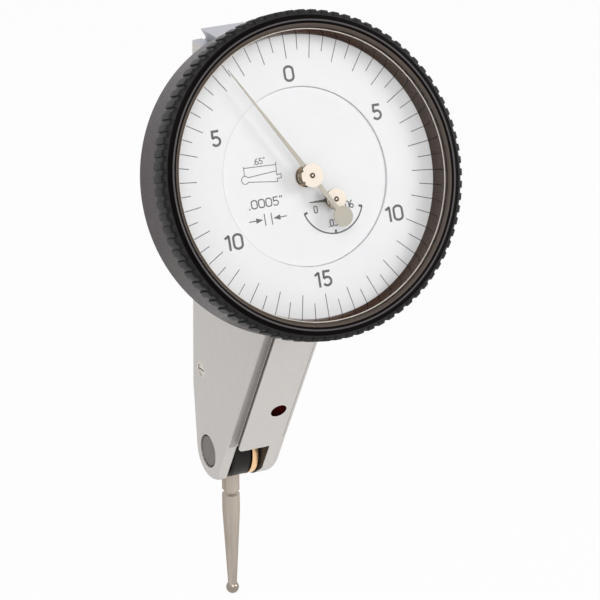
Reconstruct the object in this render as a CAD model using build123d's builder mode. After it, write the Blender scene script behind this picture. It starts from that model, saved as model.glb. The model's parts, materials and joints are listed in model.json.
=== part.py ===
from build123d import *
import os
from math import acos, atan2, cos, degrees, pi, radians, sin, tan

os.makedirs("parts", exist_ok=True)

# A dial test indicator. +X is to its right, +Y to its back and +Z up. The origin is on the flat of
# the end dovetail on top of the body. All sizes are in millimetres and degrees.

# Layout
dial_tilt = 20.0
dial_ahead = 17.0
dial_below = 13.1
pivot_behind_dial = 20.5
pivot_below_dial = 42.9
stem_lean = 30.0
contact_reach = 20.0

# Body
body_width = 8.3
back_top = 6.4
back_low = 8.25
back_low_below = 47.8
nose_radius = 3.95
nose_toe = 0.4
nose_edge_radius = 0.9
stem_face = 4.6
edge_chamfer = 0.25
back_bend_radius = 7.0

# Dovetails
rail_half_width = 3.0
rail_flank = 30.0
end_rail_height = 1.53
end_rail_start = -4.4
end_rail_end = 5.65
stem_rail_height = 0.95
back_rail_height = 1.0
relief_width = 0.35
relief_depth = 0.2
stem_rail_corner = 0.8
stem_rail_below_case = 2.8
back_rail_top_gap = 5.0
back_rail_length = 33.0

# Fork of the nose
fork_left = -2.6
fork_right = 1.5
fork_radius = 4.25
fork_top = 5.0

# Bezel: its one driving radius, and how far each step lies inside it
bezel_radius = 20.0
shoulder_step = 0.45
skirt_step = 0.7
lip_foot_step = 0.85
lip_step = 1.25
lip_inner_step = 1.65
window_step = 2.0
wall_top_step = 2.4
wall_step = 2.8
skirt_wall = 1.1

# Heights on the bezel, out from the dial face
bezel_front = 3.1
lip_foot = 2.8
lip_drop = 0.05
knurl_front = 2.4
knurl_back = 0.1
crystal_seat = 2.35
skirt_back = 6.0
knurl_teeth = 82
knurl_depth = 0.4
knurl_gap = 0.66
knurl_turn = 1.1

# Crystal, dial ring and what holds them
crystal_thickness = 0.6
crystal_bevel = 0.25
gasket_thickness = 0.15
dial_thickness = 0.5
dial_lap = 0.7
retainer_thickness = 0.4
retainer_lap = 0.6

# Fixed inner dial, set back from the dial ring that turns with the bezel
inner_dial_radius = 10.85
inner_dial_step = 0.2
inner_dial_rim = 0.7
inner_dial_rim_thickness = 0.35
inner_dial_hole = 1.3
small_dial_hole = 0.9
dial_foot_radius = 0.6
dial_pin_radius = 0.35
dial_pin_length = 0.5
dial_foot_spots = [(-5.5, -2.6), (0.5, 5.5), (6.6, -5.2)]

# Case cup
running_gap = 0.05
cup_wall = 0.9
cup_floor = 0.9
cup_rim_gap = 0.35
spring_half = 0.25
spring_height = 3.4
spring_opening = 24.0

# Movement plates and screws
bridge_top = 1.4
bridge_thickness = 0.7
pillar_radius = 0.9
pillar_spigot = 0.5
bridge_margin = 2.0
pillar_spots = [(-8.5, -3.5), (1.0, 8.5), (9.0, -6.0)]
bridge_screw_radius = 0.4
bridge_screw_head = 0.8
bridge_screw_depth = 1.6
case_screw_radius = 0.6
case_screw_head = 1.0
case_screw_depth = 2.6
case_screw_spots = [(-2.4, 11.0), (2.4, 11.0), (-2.6, -11.0), (2.6, -11.0)]
carriage_screw_radius = 0.35
carriage_screw_head = 0.75
carriage_screw_depth = 1.6
carriage_screw_spots = [(-1.4, 6.25), (1.4, 6.25)]
thread_gap = 0.02
hole_gap = 0.08
head_thickness = 0.45
driver_slot = 0.22
slot_overrun = 1.1

# Gear train
centre_leaves = 12
centre_module = 0.1239
crown_teeth = 75
crown_face = 0.9
crown_web = 0.55
crown_rim = 0.3
crown_tooth_fit = 0.9
crown_centre_depth = 11.4
arbor_leaves = 15
sector_teeth_full = 396
sector_teeth = 8
sector_lead = 2
small_teeth = 60
small_axis = (3.0, -3.3)
wheel_thickness = 0.6
wheel_above_case = 0.96
wheel_hole_radius = 0.6
wheel_hole_reach = 1.75
tooth_share = 0.42
tooth_tip_share = 0.6
tooth_foot_share = 1.25
addendum = 0.9
dedendum = 1.25
crown_tip_room = 0.3
crown_foot_room = 0.35
pinion_room = 0.3
journal_radius = 0.25
journal_gap = 0.03
jewel_radius = 0.6
arbor_radius = 0.5

# Wheel carriage
carriage_width = 5.4
cheek_thickness = 0.6
cheek_depth = 7.6
cheek_below = 2.2
cheek_above = 6.9
crossbar_thickness = 1.3
foot_front = 7.75
foot_thickness = 0.85
foot_half_height = 1.0
foot_reach = 0.95

# Cavity of the body
cavity_gap = 0.15
cavity_corner = 0.5
cavity_below = 5.9
cavity_depth = 17.0
channel_gap = 0.35
channel_low_half = 2.0
channel_high_half = 4.2
channel_start = 3.0
channel_end = 35.5

# Lever and holder
lever_left = 0.4
lever_thickness = 0.8
lever_hub_radius = 3.8
lever_arm_low_half = 1.5
lever_arm_high_half = 0.9
sector_rim = 1.5
sleeve_radius = 1.4
shaft_radius = 0.6
holder_radius = 3.75
holder_left = -2.3
washer_thickness = 0.15
nut_thickness = 0.5
nut_radius = 1.95
nut_slot = 0.5
nut_slot_depth = 0.44
pivot_hole_radius = 2.2
pivot_screw_radius = 1.95
pivot_screw_recess = 0.12
pivot_neck = 0.85
pivot_bore_depth = 0.9
fork_gap = 0.1

# Contact point, measured down from the pivot
point_axis = -1.0
point_thread_radius = 0.8
point_shoulder = 3.45
point_thread_length = 1.25
shank_radius = 1.15
socket_radius = 1.38
flat_half_width = 0.95
flats_end = 6.0
groove_end = 6.35
groove_radius = 0.88
cylinder_end = 9.0
ball_neck = 1.0
taper_end_radius = 0.6
ball_radius = 0.86

# Hands
hand_height = 1.55
hand_thickness = 0.12
hand_tip_gap = 0.7
hand_tail_reach = 6.4
hand_tail_radius = 1.25
hand_base_half = 0.3
hand_tip_half = 0.05
hand_tail_half = 0.28
hand_rest = 121.3
hub_radius = 1.45
hub_thickness = 0.22
post_radius = 0.3
boss_radius = 0.85
bush_radius = 1.15
bush_top = 0.35
bush_thickness = 0.4
collar_bottom = -1.2
collar_groove_height = 0.75
collar_groove_width = 0.3
collar_groove_depth = 0.18
hub_notch_radius = 0.18
hub_notches = 2
hub_notch_turn = 150.0
hub_notch_spread = 60.0
small_hand_height = 0.75
small_hand_reach = 3.5
small_hand_rest = 178.0
small_hub_radius = 1.3
small_hub_thickness = 0.28
small_boss_radius = 0.6
small_post_radius = 0.25

# Hairspring
spring_turns = 4
spring_pitch = 0.5
spring_strip = 0.07
spring_strip_height = 0.25
collet_radius = 0.8
collet_gap = 0.25
stud_width = 0.6

# Small screws in the body
side_screw_radius = 0.85
side_screw_behind = 1.7
side_screw_above = 10.7
side_screw_depth = 1.4
seal_radius = 1.08
seal_right = 1.1
seal_along = 12.2
seal_depth = 3.4
seal_recess = 0.3
seal_thickness = 0.5

# Directions and planes that follow from the layout
tilt = radians(dial_tilt)
lean = radians(stem_lean)
across = Vector(1, 0, 0)
dial_center = Vector(0, -dial_ahead, -dial_below)
dial_out = Vector(0, -cos(tilt), sin(tilt))
dial_up = Vector(0, sin(tilt), cos(tilt))
pivot = dial_center + Vector(0, pivot_behind_dial, -pivot_below_dial)
stem_out = Vector(0, -cos(lean), -sin(lean))
stem_up = Vector(0, -sin(lean), cos(lean))
dial_plane = Plane(origin=dial_center, x_dir=across, z_dir=dial_out)
drum_section = Plane(origin=dial_center, x_dir=across, z_dir=-dial_up)
dial_axis = Axis(dial_center, dial_out)
case_back = dial_plane.offset(-skirt_back)

# Radii of the bezel and of what turns inside it
shoulder_radius = bezel_radius - shoulder_step
skirt_radius = bezel_radius - skirt_step
lip_foot_radius = bezel_radius - lip_foot_step
lip_radius = bezel_radius - lip_step
lip_inner_radius = bezel_radius - lip_inner_step
window_radius = bezel_radius - window_step
wall_top_radius = bezel_radius - wall_top_step
wall_radius = bezel_radius - wall_step
skirt_bore = skirt_radius - skirt_wall
cup_radius = skirt_bore - running_gap
pocket_radius = wall_radius + dial_lap
dial_radius = pocket_radius - running_gap
crystal_radius = window_radius - gasket_thickness
retainer_inner_radius = wall_radius - retainer_lap
hand_tip_reach = wall_radius - hand_tip_gap


def on_dial(x, up, out=0.0):
    """The point at x and up on the dial's face, and out in front of it."""
    return dial_center + across * x + dial_up * up + dial_out * out


def seen_from_side(point):
    """A point's place in the side view: its Y and Z."""
    return Vector(point.Y, point.Z)


def touch_point(outside, center, radius, side):
    """Where a straight line from a point outside a circle touches it, on the given side."""
    span = outside - center
    swing = side * degrees(acos(radius / span.length))
    return center + span.normalized().rotate(Axis.Z, swing) * radius


def tooth_outline(pitch_radius, module):
    """Corner points of one gear tooth that points along +X from the gear's centre."""
    half = tooth_share * pi * module / 2
    foot = pitch_radius - dedendum * module
    tip = pitch_radius + addendum * module
    side = [(foot - module, tooth_foot_share * half), (foot, tooth_foot_share * half), (pitch_radius, half),
            (tip, tooth_tip_share * half)]
    return side + [(x, -y) for x, y in reversed(side)]


def dovetail_cutter(start, outward, height, length):
    """What is milled away on both sides of a rail whose flat starts at a point and faces outward."""
    along = outward.cross(across)
    section = Plane(origin=start, x_dir=across, z_dir=-along)
    root = rail_half_width - height * tan(radians(rail_flank))
    side = body_width / 2 + 1
    with BuildPart() as cutter:
        with BuildSketch(section):
            with BuildLine():
                Polyline((rail_half_width, 1), (rail_half_width, 0), (root, -height),
                         (root, -height - relief_depth), (root + relief_width, -height - relief_depth),
                         (root + relief_width, -height), (side, -height), (side, 1), close=True)
            make_face()
            mirror(about=Plane.YZ)
        extrude(amount=-length)
    return cutter.part


def turned(points, section=drum_section, axis=dial_axis):
    """A round piece turned from the half section through the given points."""
    with BuildPart() as piece:
        with BuildSketch(section):
            with BuildLine():
                Polyline(*points, close=True)
            make_face()
        revolve(axis=axis)
    return piece.part


def slotted_screws(spots, seat, radius, depth, head_radius):
    """Pan-head screws that stand at spots on the dial's plane, with their heads on a seat height."""
    with BuildPart() as screws:
        with BuildSketch(dial_plane.offset(seat)):
            with Locations(*spots):
                Circle(head_radius)
        extrude(amount=head_thickness)
        with BuildSketch(dial_plane.offset(seat)):
            with Locations(*spots):
                Circle(radius - thread_gap)
        extrude(amount=-depth)
        with BuildSketch(dial_plane.offset(seat + head_thickness)):
            with Locations(*spots):
                Rectangle(2 * slot_overrun * head_radius, driver_slot)
        extrude(amount=-head_thickness / 2, mode=Mode.SUBTRACT)
    return screws.part


def gear(plane, teeth, module, first_tooth, thickness):
    """A plain gear on a plane, with its first tooth at an angle from the plane's X."""
    pitch_radius = teeth * module / 2
    with BuildPart() as wheel:
        with BuildSketch(plane):
            Circle(pitch_radius - dedendum * module)
            with PolarLocations(0, teeth, start_angle=first_tooth):
                Polygon(*tooth_outline(pitch_radius, module), align=None)
        extrude(amount=thickness)
    return wheel.part


def rod(plane, radius, length, bore=0.0):
    """A round rod that rises from a plane, bored through where a bore is given."""
    with BuildPart() as piece:
        with BuildSketch(plane):
            Circle(radius)
            if bore:
                Circle(bore, mode=Mode.SUBTRACT)
        extrude(amount=length)
    return piece.part


# The body's outline as seen from the side
blank_front = dial_center.Y - bezel_radius / 2
toe = seen_from_side(pivot + stem_out * stem_face + stem_up * nose_toe)
nose_center = seen_from_side(pivot)
low_back = Vector(back_low, -back_low_below)
back_touch = touch_point(low_back, nose_center, nose_radius, -1)
toe_touch = touch_point(toe, nose_center, nose_radius, 1)
nose_bottom = nose_center + (back_touch + toe_touch - nose_center * 2).normalized() * nose_radius
stem_top = toe + seen_from_side(stem_up) * ((toe.X - blank_front) / sin(lean))
stem_plane = Plane(origin=pivot + stem_out * stem_face, x_dir=across, z_dir=stem_out)
case_meets_stem = case_back.intersect(Axis(stem_plane.origin, stem_up))
stem_rail_end = (case_meets_stem - stem_plane.origin).dot(stem_up) - stem_rail_below_case
top_back = Vector(back_top, -end_rail_height)
back_line = (low_back - top_back).normalized()
back_out = Vector(0, -back_line.Y, back_line.X)
back_down = Vector(0, back_line.X, back_line.Y)
back_rail_start = Vector(0, top_back.X, top_back.Y) + back_down * back_rail_top_gap
back_slope = Plane(origin=back_rail_start, x_dir=across, z_dir=back_out)

# Lines of the gear train
crown_center = dial_center - dial_out * crown_centre_depth
lever_line = crown_center - pivot
lever_up = lever_line.normalized()
sector_pitch = 360 / sector_teeth_full
arbor_module = 2 * lever_line.length / (sector_teeth_full + arbor_leaves)
sector_pitch_radius = sector_teeth_full * arbor_module / 2
centre_radius = centre_leaves * centre_module / 2
crown_outer = crown_teeth * centre_module / 2 + crown_face / 2
crown_tooth_tip = -(centre_radius - (dedendum - crown_tip_room) * centre_module)
crown_tooth_foot = -(centre_radius + (addendum + crown_foot_room) * centre_module)
cheek_left = -carriage_width / 2
cheek_inner = carriage_width / 2 - cheek_thickness
case_floor = cup_floor - skirt_back
bridge_bottom = -bridge_top - bridge_thickness


def lever_plane(x):
    """The side view of the lever at an X: its own X points from the pivot to the crown's axis."""
    return Plane(origin=pivot + across * x, x_dir=lever_up, z_dir=-across)


def arbor_plane(x):
    """A plane square to the crown's axis at an X, with its own X toward the dial."""
    return Plane(origin=crown_center + across * x, x_dir=dial_out, z_dir=across)


def pivot_plane(x):
    """A plane square to the pivot at an X, facing right."""
    return Plane(origin=pivot + across * x, x_dir=(0, 1, 0), z_dir=across)


def notched_hub(plane, radius, thickness, bore):
    """A flat hub that rises from a plane, with small notches in its rim."""
    with BuildPart() as hub:
        with BuildSketch(plane):
            Circle(radius)
            Circle(bore, mode=Mode.SUBTRACT)
            with PolarLocations(radius, hub_notches, start_angle=hub_notch_turn,
                                angular_range=hub_notch_spread, endpoint=True):
                Circle(hub_notch_radius, mode=Mode.SUBTRACT)
        extrude(amount=thickness)
    return hub.part


# Body frame: one block with the stem, the fork of the nose and three dovetails
with BuildPart() as body_frame:
    with BuildSketch(Plane.YZ.offset(-body_width / 2)):
        with BuildLine():
            Polyline(toe_touch, toe, stem_top, (blank_front, 0), (end_rail_end, 0),
                     (end_rail_end, -end_rail_height), top_back, low_back, back_touch)
            ThreePointArc(back_touch, nose_bottom, toe_touch)
        make_face()
    extrude(amount=body_width)
    split(bisect_by=case_back, keep=Keep.BOTTOM)
    low_back_edge = body_frame.edges().filter_by(Axis.X).sort_by_distance((0, low_back.X, low_back.Y))[0]
    fillet(low_back_edge, back_bend_radius)
    nose_edges = body_frame.faces().filter_by(Axis.X).edges().filter_by(
        lambda edge: edge.center().Z < pivot.Z + fork_top and edge.center().Y < pivot.Y + nose_radius)
    fillet(nose_edges, nose_edge_radius)
    side_edges = body_frame.faces().filter_by(Axis.X).edges().filter_by(GeomType.LINE).filter_by(
        lambda edge: edge.center().Z < -end_rail_height and edge.center().Z > pivot.Z + fork_top)
    chamfer(side_edges, edge_chamfer)
    with BuildSketch(back_slope):
        with Locations((0, back_rail_length / 2)):
            Rectangle(2 * rail_half_width, back_rail_length)
    extrude(amount=back_rail_height)
    add(dovetail_cutter(Vector(0, blank_front, 0), Vector(0, 0, 1), end_rail_height, 2 * dial_ahead),
        mode=Mode.SUBTRACT)
    add(dovetail_cutter(stem_plane.origin - stem_up * 2 * nose_radius, stem_out, stem_rail_height,
                        2 * pivot_below_dial), mode=Mode.SUBTRACT)
    add(dovetail_cutter(back_rail_start + back_out * back_rail_height, back_out, back_rail_height,
                        back_rail_length), mode=Mode.SUBTRACT)
    # Both rails stop short of the bezel, and the stem's rail has a round corner above the fork
    with BuildSketch(Plane.XY):
        with Locations((0, end_rail_start - dial_ahead)):
            Rectangle(body_width, 2 * dial_ahead)
    extrude(amount=-end_rail_height, mode=Mode.SUBTRACT)
    with BuildSketch(stem_plane):
        with Locations((0, stem_rail_end + pivot_below_dial)):
            Rectangle(body_width, 2 * pivot_below_dial)
        with Locations((-body_width / 2, fork_top + stem_rail_corner - pivot_below_dial)):
            Rectangle(body_width - 2 * (rail_half_width - stem_rail_corner), 2 * pivot_below_dial)
        with Locations((stem_rail_corner - rail_half_width, fork_top + stem_rail_corner)):
            Circle(stem_rail_corner, mode=Mode.SUBTRACT)
    extrude(amount=-stem_rail_height, mode=Mode.SUBTRACT)
    # Cavity for the wheel carriage behind the case
    with BuildSketch(case_back):
        with Locations((0, (cheek_above + cavity_gap - cavity_below) / 2)):
            RectangleRounded(carriage_width + 2 * cavity_gap, cheek_above + cavity_gap + cavity_below,
                             cavity_corner)
    extrude(amount=skirt_back - cavity_depth, mode=Mode.SUBTRACT)
    # Channel that the lever's arm swings in
    with BuildSketch(lever_plane(lever_left + lever_thickness + channel_gap)):
        with BuildLine():
            Polyline((channel_start, -channel_low_half), (channel_end, -channel_high_half),
                     (channel_end, channel_high_half), (channel_start, channel_low_half), close=True)
        make_face()
    extrude(amount=lever_thickness + 2 * channel_gap, mode=Mode.SUBTRACT)
    # Fork for the holder, open at the front and below
    with BuildSketch(Plane(origin=pivot + across * fork_right, x_dir=stem_out, z_dir=-across)):
        Circle(fork_radius)
        with Locations((fork_radius, fork_top - fork_radius)):
            Rectangle(2 * fork_radius, 2 * fork_radius)
    extrude(amount=fork_right - fork_left, mode=Mode.SUBTRACT)
    # Bores for the pivot screws
    with BuildSketch(pivot_plane(-body_width / 2)):
        Circle(pivot_screw_radius + thread_gap)
    extrude(amount=body_width, mode=Mode.SUBTRACT)
    with BuildSketch(pivot_plane(-body_width / 2), pivot_plane(body_width / 2 - pivot_neck)):
        Circle(pivot_hole_radius)
    extrude(amount=pivot_neck, mode=Mode.SUBTRACT)
    # Hole of the small screw in the left face
    with BuildSketch(pivot_plane(-body_width / 2)):
        with Locations((side_screw_behind, side_screw_above)):
            Circle(side_screw_radius + thread_gap)
    extrude(amount=side_screw_depth, mode=Mode.SUBTRACT)
    # Hole of the adjusting screw and its seal in the stem
    with BuildSketch(stem_plane):
        with Locations((seal_right, seal_along)):
            Circle(seal_radius)
    extrude(amount=-seal_depth, mode=Mode.SUBTRACT)
    # Threaded holes of the case screws
    with BuildSketch(case_back):
        with Locations(*case_screw_spots):
            Circle(case_screw_radius)
    extrude(amount=-case_screw_depth, mode=Mode.SUBTRACT)

body_frame.part.label = "body_frame"
export_step(body_frame.part, "parts/body_frame.step")

# Knurled bezel ring with the seat of the crystal and the pocket of the dial
pocket_floor = -dial_thickness - retainer_thickness
spring_low = -spring_height - spring_half
spring_high = -spring_height + spring_half
spring_outer = cup_radius + spring_half + running_gap
with BuildPart() as bezel_ring:
    add(turned([(skirt_radius, knurl_back), (bezel_radius, knurl_back), (bezel_radius, knurl_front),
                (shoulder_radius, lip_foot), (lip_foot_radius, lip_foot), (lip_radius, bezel_front),
                (lip_inner_radius, bezel_front - lip_drop), (window_radius, lip_foot),
                (window_radius, crystal_seat), (wall_top_radius, crystal_seat), (wall_radius, 0),
                (pocket_radius, 0), (pocket_radius, pocket_floor), (skirt_bore, pocket_floor),
                (skirt_bore, running_gap - skirt_back),
                (skirt_radius - edge_chamfer, running_gap - skirt_back),
                (skirt_radius, running_gap + edge_chamfer - skirt_back)]))
    with BuildSketch(dial_plane.offset(knurl_back)):
        with PolarLocations(bezel_radius, knurl_teeth, start_angle=knurl_turn + 180 / knurl_teeth):
            Rectangle(2 * knurl_depth, knurl_gap)
    extrude(amount=bezel_front - knurl_back, mode=Mode.SUBTRACT)
    add(turned([(cup_radius, spring_low - running_gap), (spring_outer, spring_low - running_gap),
                (spring_outer, spring_high + running_gap), (cup_radius, spring_high + running_gap)]),
        mode=Mode.SUBTRACT)

bezel_ring.part.label = "bezel_ring"
export_step(bezel_ring.part, "parts/bezel_ring.step")

# Crystal with a bevelled front edge, and the dark gasket around it
with BuildPart() as crystal:
    with BuildSketch(dial_plane.offset(crystal_seat)):
        Circle(crystal_radius)
    extrude(amount=crystal_thickness)
    chamfer(crystal.faces().sort_by(dial_axis)[-1].edges(), crystal_bevel)

crystal.part.label = "crystal"
export_step(crystal.part, "parts/crystal.step")

with BuildPart() as crystal_gasket:
    add(rod(dial_plane.offset(crystal_seat), window_radius, lip_foot - crystal_seat, crystal_radius))

crystal_gasket.part.label = "crystal_gasket"
export_step(crystal_gasket.part, "parts/crystal_gasket.step")

# Dial ring that turns with the bezel, and the ring that holds it in
with BuildPart() as dial_ring:
    add(rod(dial_plane.offset(-dial_thickness), dial_radius, dial_thickness, inner_dial_radius + running_gap))

dial_ring.part.label = "dial_ring"
export_step(dial_ring.part, "parts/dial_ring.step")

with BuildPart() as dial_retainer:
    add(rod(dial_plane.offset(-dial_thickness), pocket_radius, -retainer_thickness, retainer_inner_radius))

dial_retainer.part.label = "dial_retainer"
export_step(dial_retainer.part, "parts/dial_retainer.step")

# Fixed inner dial with its feet on the bridge
rim_top = running_gap + dial_thickness
rim_bottom = rim_top + inner_dial_rim_thickness
with BuildPart() as inner_dial:
    add(rod(dial_plane.offset(-inner_dial_step), inner_dial_radius, inner_dial_step - rim_bottom))
    add(rod(dial_plane.offset(-rim_top), inner_dial_radius + inner_dial_rim, -inner_dial_rim_thickness))
    with BuildSketch(dial_plane.offset(-rim_bottom)):
        with Locations(*dial_foot_spots):
            Circle(dial_foot_radius)
    extrude(amount=rim_bottom - bridge_top)
    with BuildSketch(dial_plane.offset(-bridge_top)):
        with Locations(*dial_foot_spots):
            Circle(dial_pin_radius)
    extrude(amount=-dial_pin_length)
    with BuildSketch(dial_plane):
        Circle(inner_dial_hole)
        with Locations(small_axis):
            Circle(small_dial_hole)
    extrude(amount=-rim_bottom, mode=Mode.SUBTRACT)

inner_dial.part.label = "inner_dial"
export_step(inner_dial.part, "parts/inner_dial.step")

# Case cup that the bezel turns on
groove_floor = cup_radius - spring_half - thread_gap
cup_rim = pocket_floor - cup_rim_gap
with BuildPart() as case_cup:
    add(turned([(0, -skirt_back), (cup_radius, -skirt_back), (cup_radius, spring_low - thread_gap),
                (groove_floor, spring_low - thread_gap), (groove_floor, spring_high + thread_gap),
                (cup_radius, spring_high + thread_gap), (cup_radius, cup_rim),
                (cup_radius - cup_wall, cup_rim), (cup_radius - cup_wall, case_floor), (0, case_floor)]))
    with BuildSketch(dial_plane.offset(case_floor)):
        Circle(centre_radius + addendum * centre_module + pinion_room)
        with Locations(small_axis):
            Circle(jewel_radius)
        with Locations(*case_screw_spots):
            Circle(case_screw_radius + hole_gap)
        with Locations(*carriage_screw_spots):
            Circle(carriage_screw_radius + hole_gap)
    extrude(amount=-cup_floor, mode=Mode.SUBTRACT)
    with BuildSketch(dial_plane.offset(case_floor)):
        with Locations(*pillar_spots):
            Circle(pillar_spigot)
    extrude(amount=-pillar_spigot, mode=Mode.SUBTRACT)

case_cup.part.label = "case_cup"
export_step(case_cup.part, "parts/case_cup.step")

with BuildPart() as case_screws:
    add(slotted_screws(case_screw_spots, case_floor, case_screw_radius, case_screw_depth, case_screw_head))

case_screws.part.label = "case_screws"
export_step(case_screws.part, "parts/case_screws.step")

# Open ring of square wire that keeps the bezel on the cup
with BuildPart() as bezel_spring:
    with BuildSketch(drum_section):
        with Locations((cup_radius, -spring_height)):
            Rectangle(2 * spring_half, 2 * spring_half)
    revolve(axis=dial_axis, revolution_arc=360 - spring_opening)

bezel_spring.part.label = "bezel_spring"
export_step(bezel_spring.part, "parts/bezel_spring.step")

# Bridge of the movement on three pillars
with BuildPart() as movement_bridge:
    with BuildSketch(dial_plane.offset(bridge_bottom)):
        with Locations(*pillar_spots):
            Circle(bridge_margin)
        make_hull()
    extrude(amount=bridge_thickness)
    with BuildSketch(dial_plane.offset(bridge_bottom)):
        Circle(jewel_radius)
        with Locations(small_axis):
            Circle(jewel_radius)
        with Locations(*pillar_spots):
            Circle(bridge_screw_radius + hole_gap)
        with Locations(*dial_foot_spots):
            Circle(dial_pin_radius)
    extrude(amount=bridge_thickness, mode=Mode.SUBTRACT)

movement_bridge.part.label = "movement_bridge"
export_step(movement_bridge.part, "parts/movement_bridge.step")

with BuildPart() as bridge_pillars:
    with BuildSketch(dial_plane.offset(case_floor)):
        with Locations(*pillar_spots):
            Circle(pillar_radius)
    extrude(amount=bridge_bottom - case_floor)
    with BuildSketch(dial_plane.offset(case_floor)):
        with Locations(*pillar_spots):
            Circle(pillar_spigot)
    extrude(amount=-pillar_spigot)
    with BuildSketch(dial_plane.offset(bridge_bottom)):
        with Locations(*pillar_spots):
            Circle(bridge_screw_radius)
    extrude(amount=-bridge_screw_depth, mode=Mode.SUBTRACT)

bridge_pillars.part.label = "bridge_pillars"
export_step(bridge_pillars.part, "parts/bridge_pillars.step")

with BuildPart() as bridge_screws:
    add(slotted_screws(pillar_spots, -bridge_top, bridge_screw_radius, bridge_screw_depth, bridge_screw_head))

bridge_screws.part.label = "bridge_screws"
export_step(bridge_screws.part, "parts/bridge_screws.step")

# Wheel carriage behind the case: two cheeks, a crossbar and a foot for the centre pinion
with BuildPart() as wheel_carriage:
    with BuildSketch(case_back):
        with Locations((0, (cheek_above - cheek_below) / 2)):
            RectangleRounded(carriage_width, cheek_above + cheek_below, cavity_corner)
        with Locations((0, (cheek_above - crossbar_thickness - cheek_below) / 2)):
            Rectangle(2 * cheek_inner, cheek_above - crossbar_thickness + cheek_below, mode=Mode.SUBTRACT)
    extrude(amount=-cheek_depth)
    with BuildSketch(dial_plane.offset(-foot_front)):
        with Locations(((cheek_inner - foot_reach) / 2, 0)):
            Rectangle(cheek_inner + foot_reach, 2 * foot_half_height)
    extrude(amount=-foot_thickness)
    with BuildSketch(dial_plane.offset(-foot_front)):
        Circle(jewel_radius)
    extrude(amount=-foot_thickness, mode=Mode.SUBTRACT)
    with BuildSketch(arbor_plane(cheek_left)):
        Circle(jewel_radius)
    extrude(amount=carriage_width, mode=Mode.SUBTRACT)
    with BuildSketch(case_back):
        with Locations(*carriage_screw_spots):
            Circle(carriage_screw_radius)
    extrude(amount=-carriage_screw_depth, mode=Mode.SUBTRACT)

wheel_carriage.part.label = "wheel_carriage"
export_step(wheel_carriage.part, "parts/wheel_carriage.step")

with BuildPart() as carriage_screws:
    add(slotted_screws(carriage_screw_spots, case_floor, carriage_screw_radius, carriage_screw_depth,
                       carriage_screw_head))

carriage_screws.part.label = "carriage_screws"
export_step(carriage_screws.part, "parts/carriage_screws.step")

# Jewel bearings of the three arbors
small_center = on_dial(*small_axis)
small_plane = Plane(origin=small_center, x_dir=across, z_dir=dial_out)
with BuildPart() as jewel_bearings:
    add(rod(dial_plane.offset(bridge_bottom), jewel_radius, bridge_thickness, post_radius + journal_gap))
    add(rod(dial_plane.offset(-foot_front), jewel_radius, -foot_thickness, journal_radius + journal_gap))
    add(rod(small_plane.offset(bridge_bottom), jewel_radius, bridge_thickness,
            small_post_radius + journal_gap))
    add(rod(small_plane.offset(case_floor), jewel_radius, -cup_floor, journal_radius + journal_gap))
    for cheek_face in [cheek_left, cheek_inner]:
        add(rod(arbor_plane(cheek_face), jewel_radius, cheek_thickness, journal_radius + journal_gap))

jewel_bearings.part.label = "jewel_bearings"
export_step(jewel_bearings.part, "parts/jewel_bearings.step")

# Lever: toothed sector, arm, disc and the sleeve that the holder turns on
sector_middle = (sector_teeth / 2 - sector_lead) * sector_pitch
sector_root = sector_pitch_radius - dedendum * arbor_module
sector_sweep = sector_teeth * sector_pitch
sector_start = -sector_lead * sector_pitch
with BuildPart() as sector_lever:
    with BuildSketch(lever_plane(lever_left + lever_thickness)):
        Circle(lever_hub_radius)
        with PolarLocations(0, 1, start_angle=sector_middle):
            Polygon((0, -lever_arm_low_half), (sector_root - sector_rim / 2, -lever_arm_high_half),
                    (sector_root - sector_rim / 2, lever_arm_high_half), (0, lever_arm_low_half), align=None)
        with BuildLine():
            sector_arc = CenterArc((0, 0), sector_root, sector_start, sector_sweep)
            rim_arc = CenterArc((0, 0), sector_root - sector_rim, sector_start, sector_sweep)
            Line(sector_arc @ 0, rim_arc @ 0)
            Line(sector_arc @ 1, rim_arc @ 1)
        make_face()
        for tooth in range(sector_teeth):
            with PolarLocations(0, 1, start_angle=(tooth + 0.5 - sector_lead) * sector_pitch):
                Polygon(*tooth_outline(sector_pitch_radius, arbor_module), align=None)
    extrude(amount=lever_thickness)
    with BuildSketch(pivot_plane(holder_left)):
        Circle(sleeve_radius)
    extrude(amount=lever_left - holder_left)
    with BuildSketch(pivot_plane(holder_left)):
        Circle(shaft_radius)
    extrude(amount=2 * body_width, mode=Mode.SUBTRACT)

sector_lever.part.label = "sector_lever"
export_step(sector_lever.part, "parts/sector_lever.step")

# Shaft of the lever between the two pivot screws
screw_left = fork_left - fork_gap
screw_right = fork_right + fork_gap
shaft_left = screw_left - pivot_bore_depth + fork_gap
shaft_right = screw_right + pivot_bore_depth - fork_gap
with BuildPart() as lever_shaft:
    add(rod(pivot_plane(shaft_left), shaft_radius, shaft_right - shaft_left))
    chamfer(lever_shaft.edges().filter_by(GeomType.CIRCLE), fork_gap)

lever_shaft.part.label = "lever_shaft"
export_step(lever_shaft.part, "parts/lever_shaft.step")

with BuildPart() as pivot_screws:
    screw_end = body_width / 2 - pivot_screw_recess
    add(rod(pivot_plane(-screw_end), pivot_screw_radius, screw_end + screw_left))
    add(rod(pivot_plane(screw_right), pivot_screw_radius, screw_end - screw_right))
    with BuildSketch(pivot_plane(screw_left - pivot_bore_depth)):
        Circle(shaft_radius + running_gap)
    extrude(amount=screw_right - screw_left + 2 * pivot_bore_depth, mode=Mode.SUBTRACT)

pivot_screws.part.label = "pivot_screws"
export_step(pivot_screws.part, "parts/pivot_screws.step")

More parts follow.
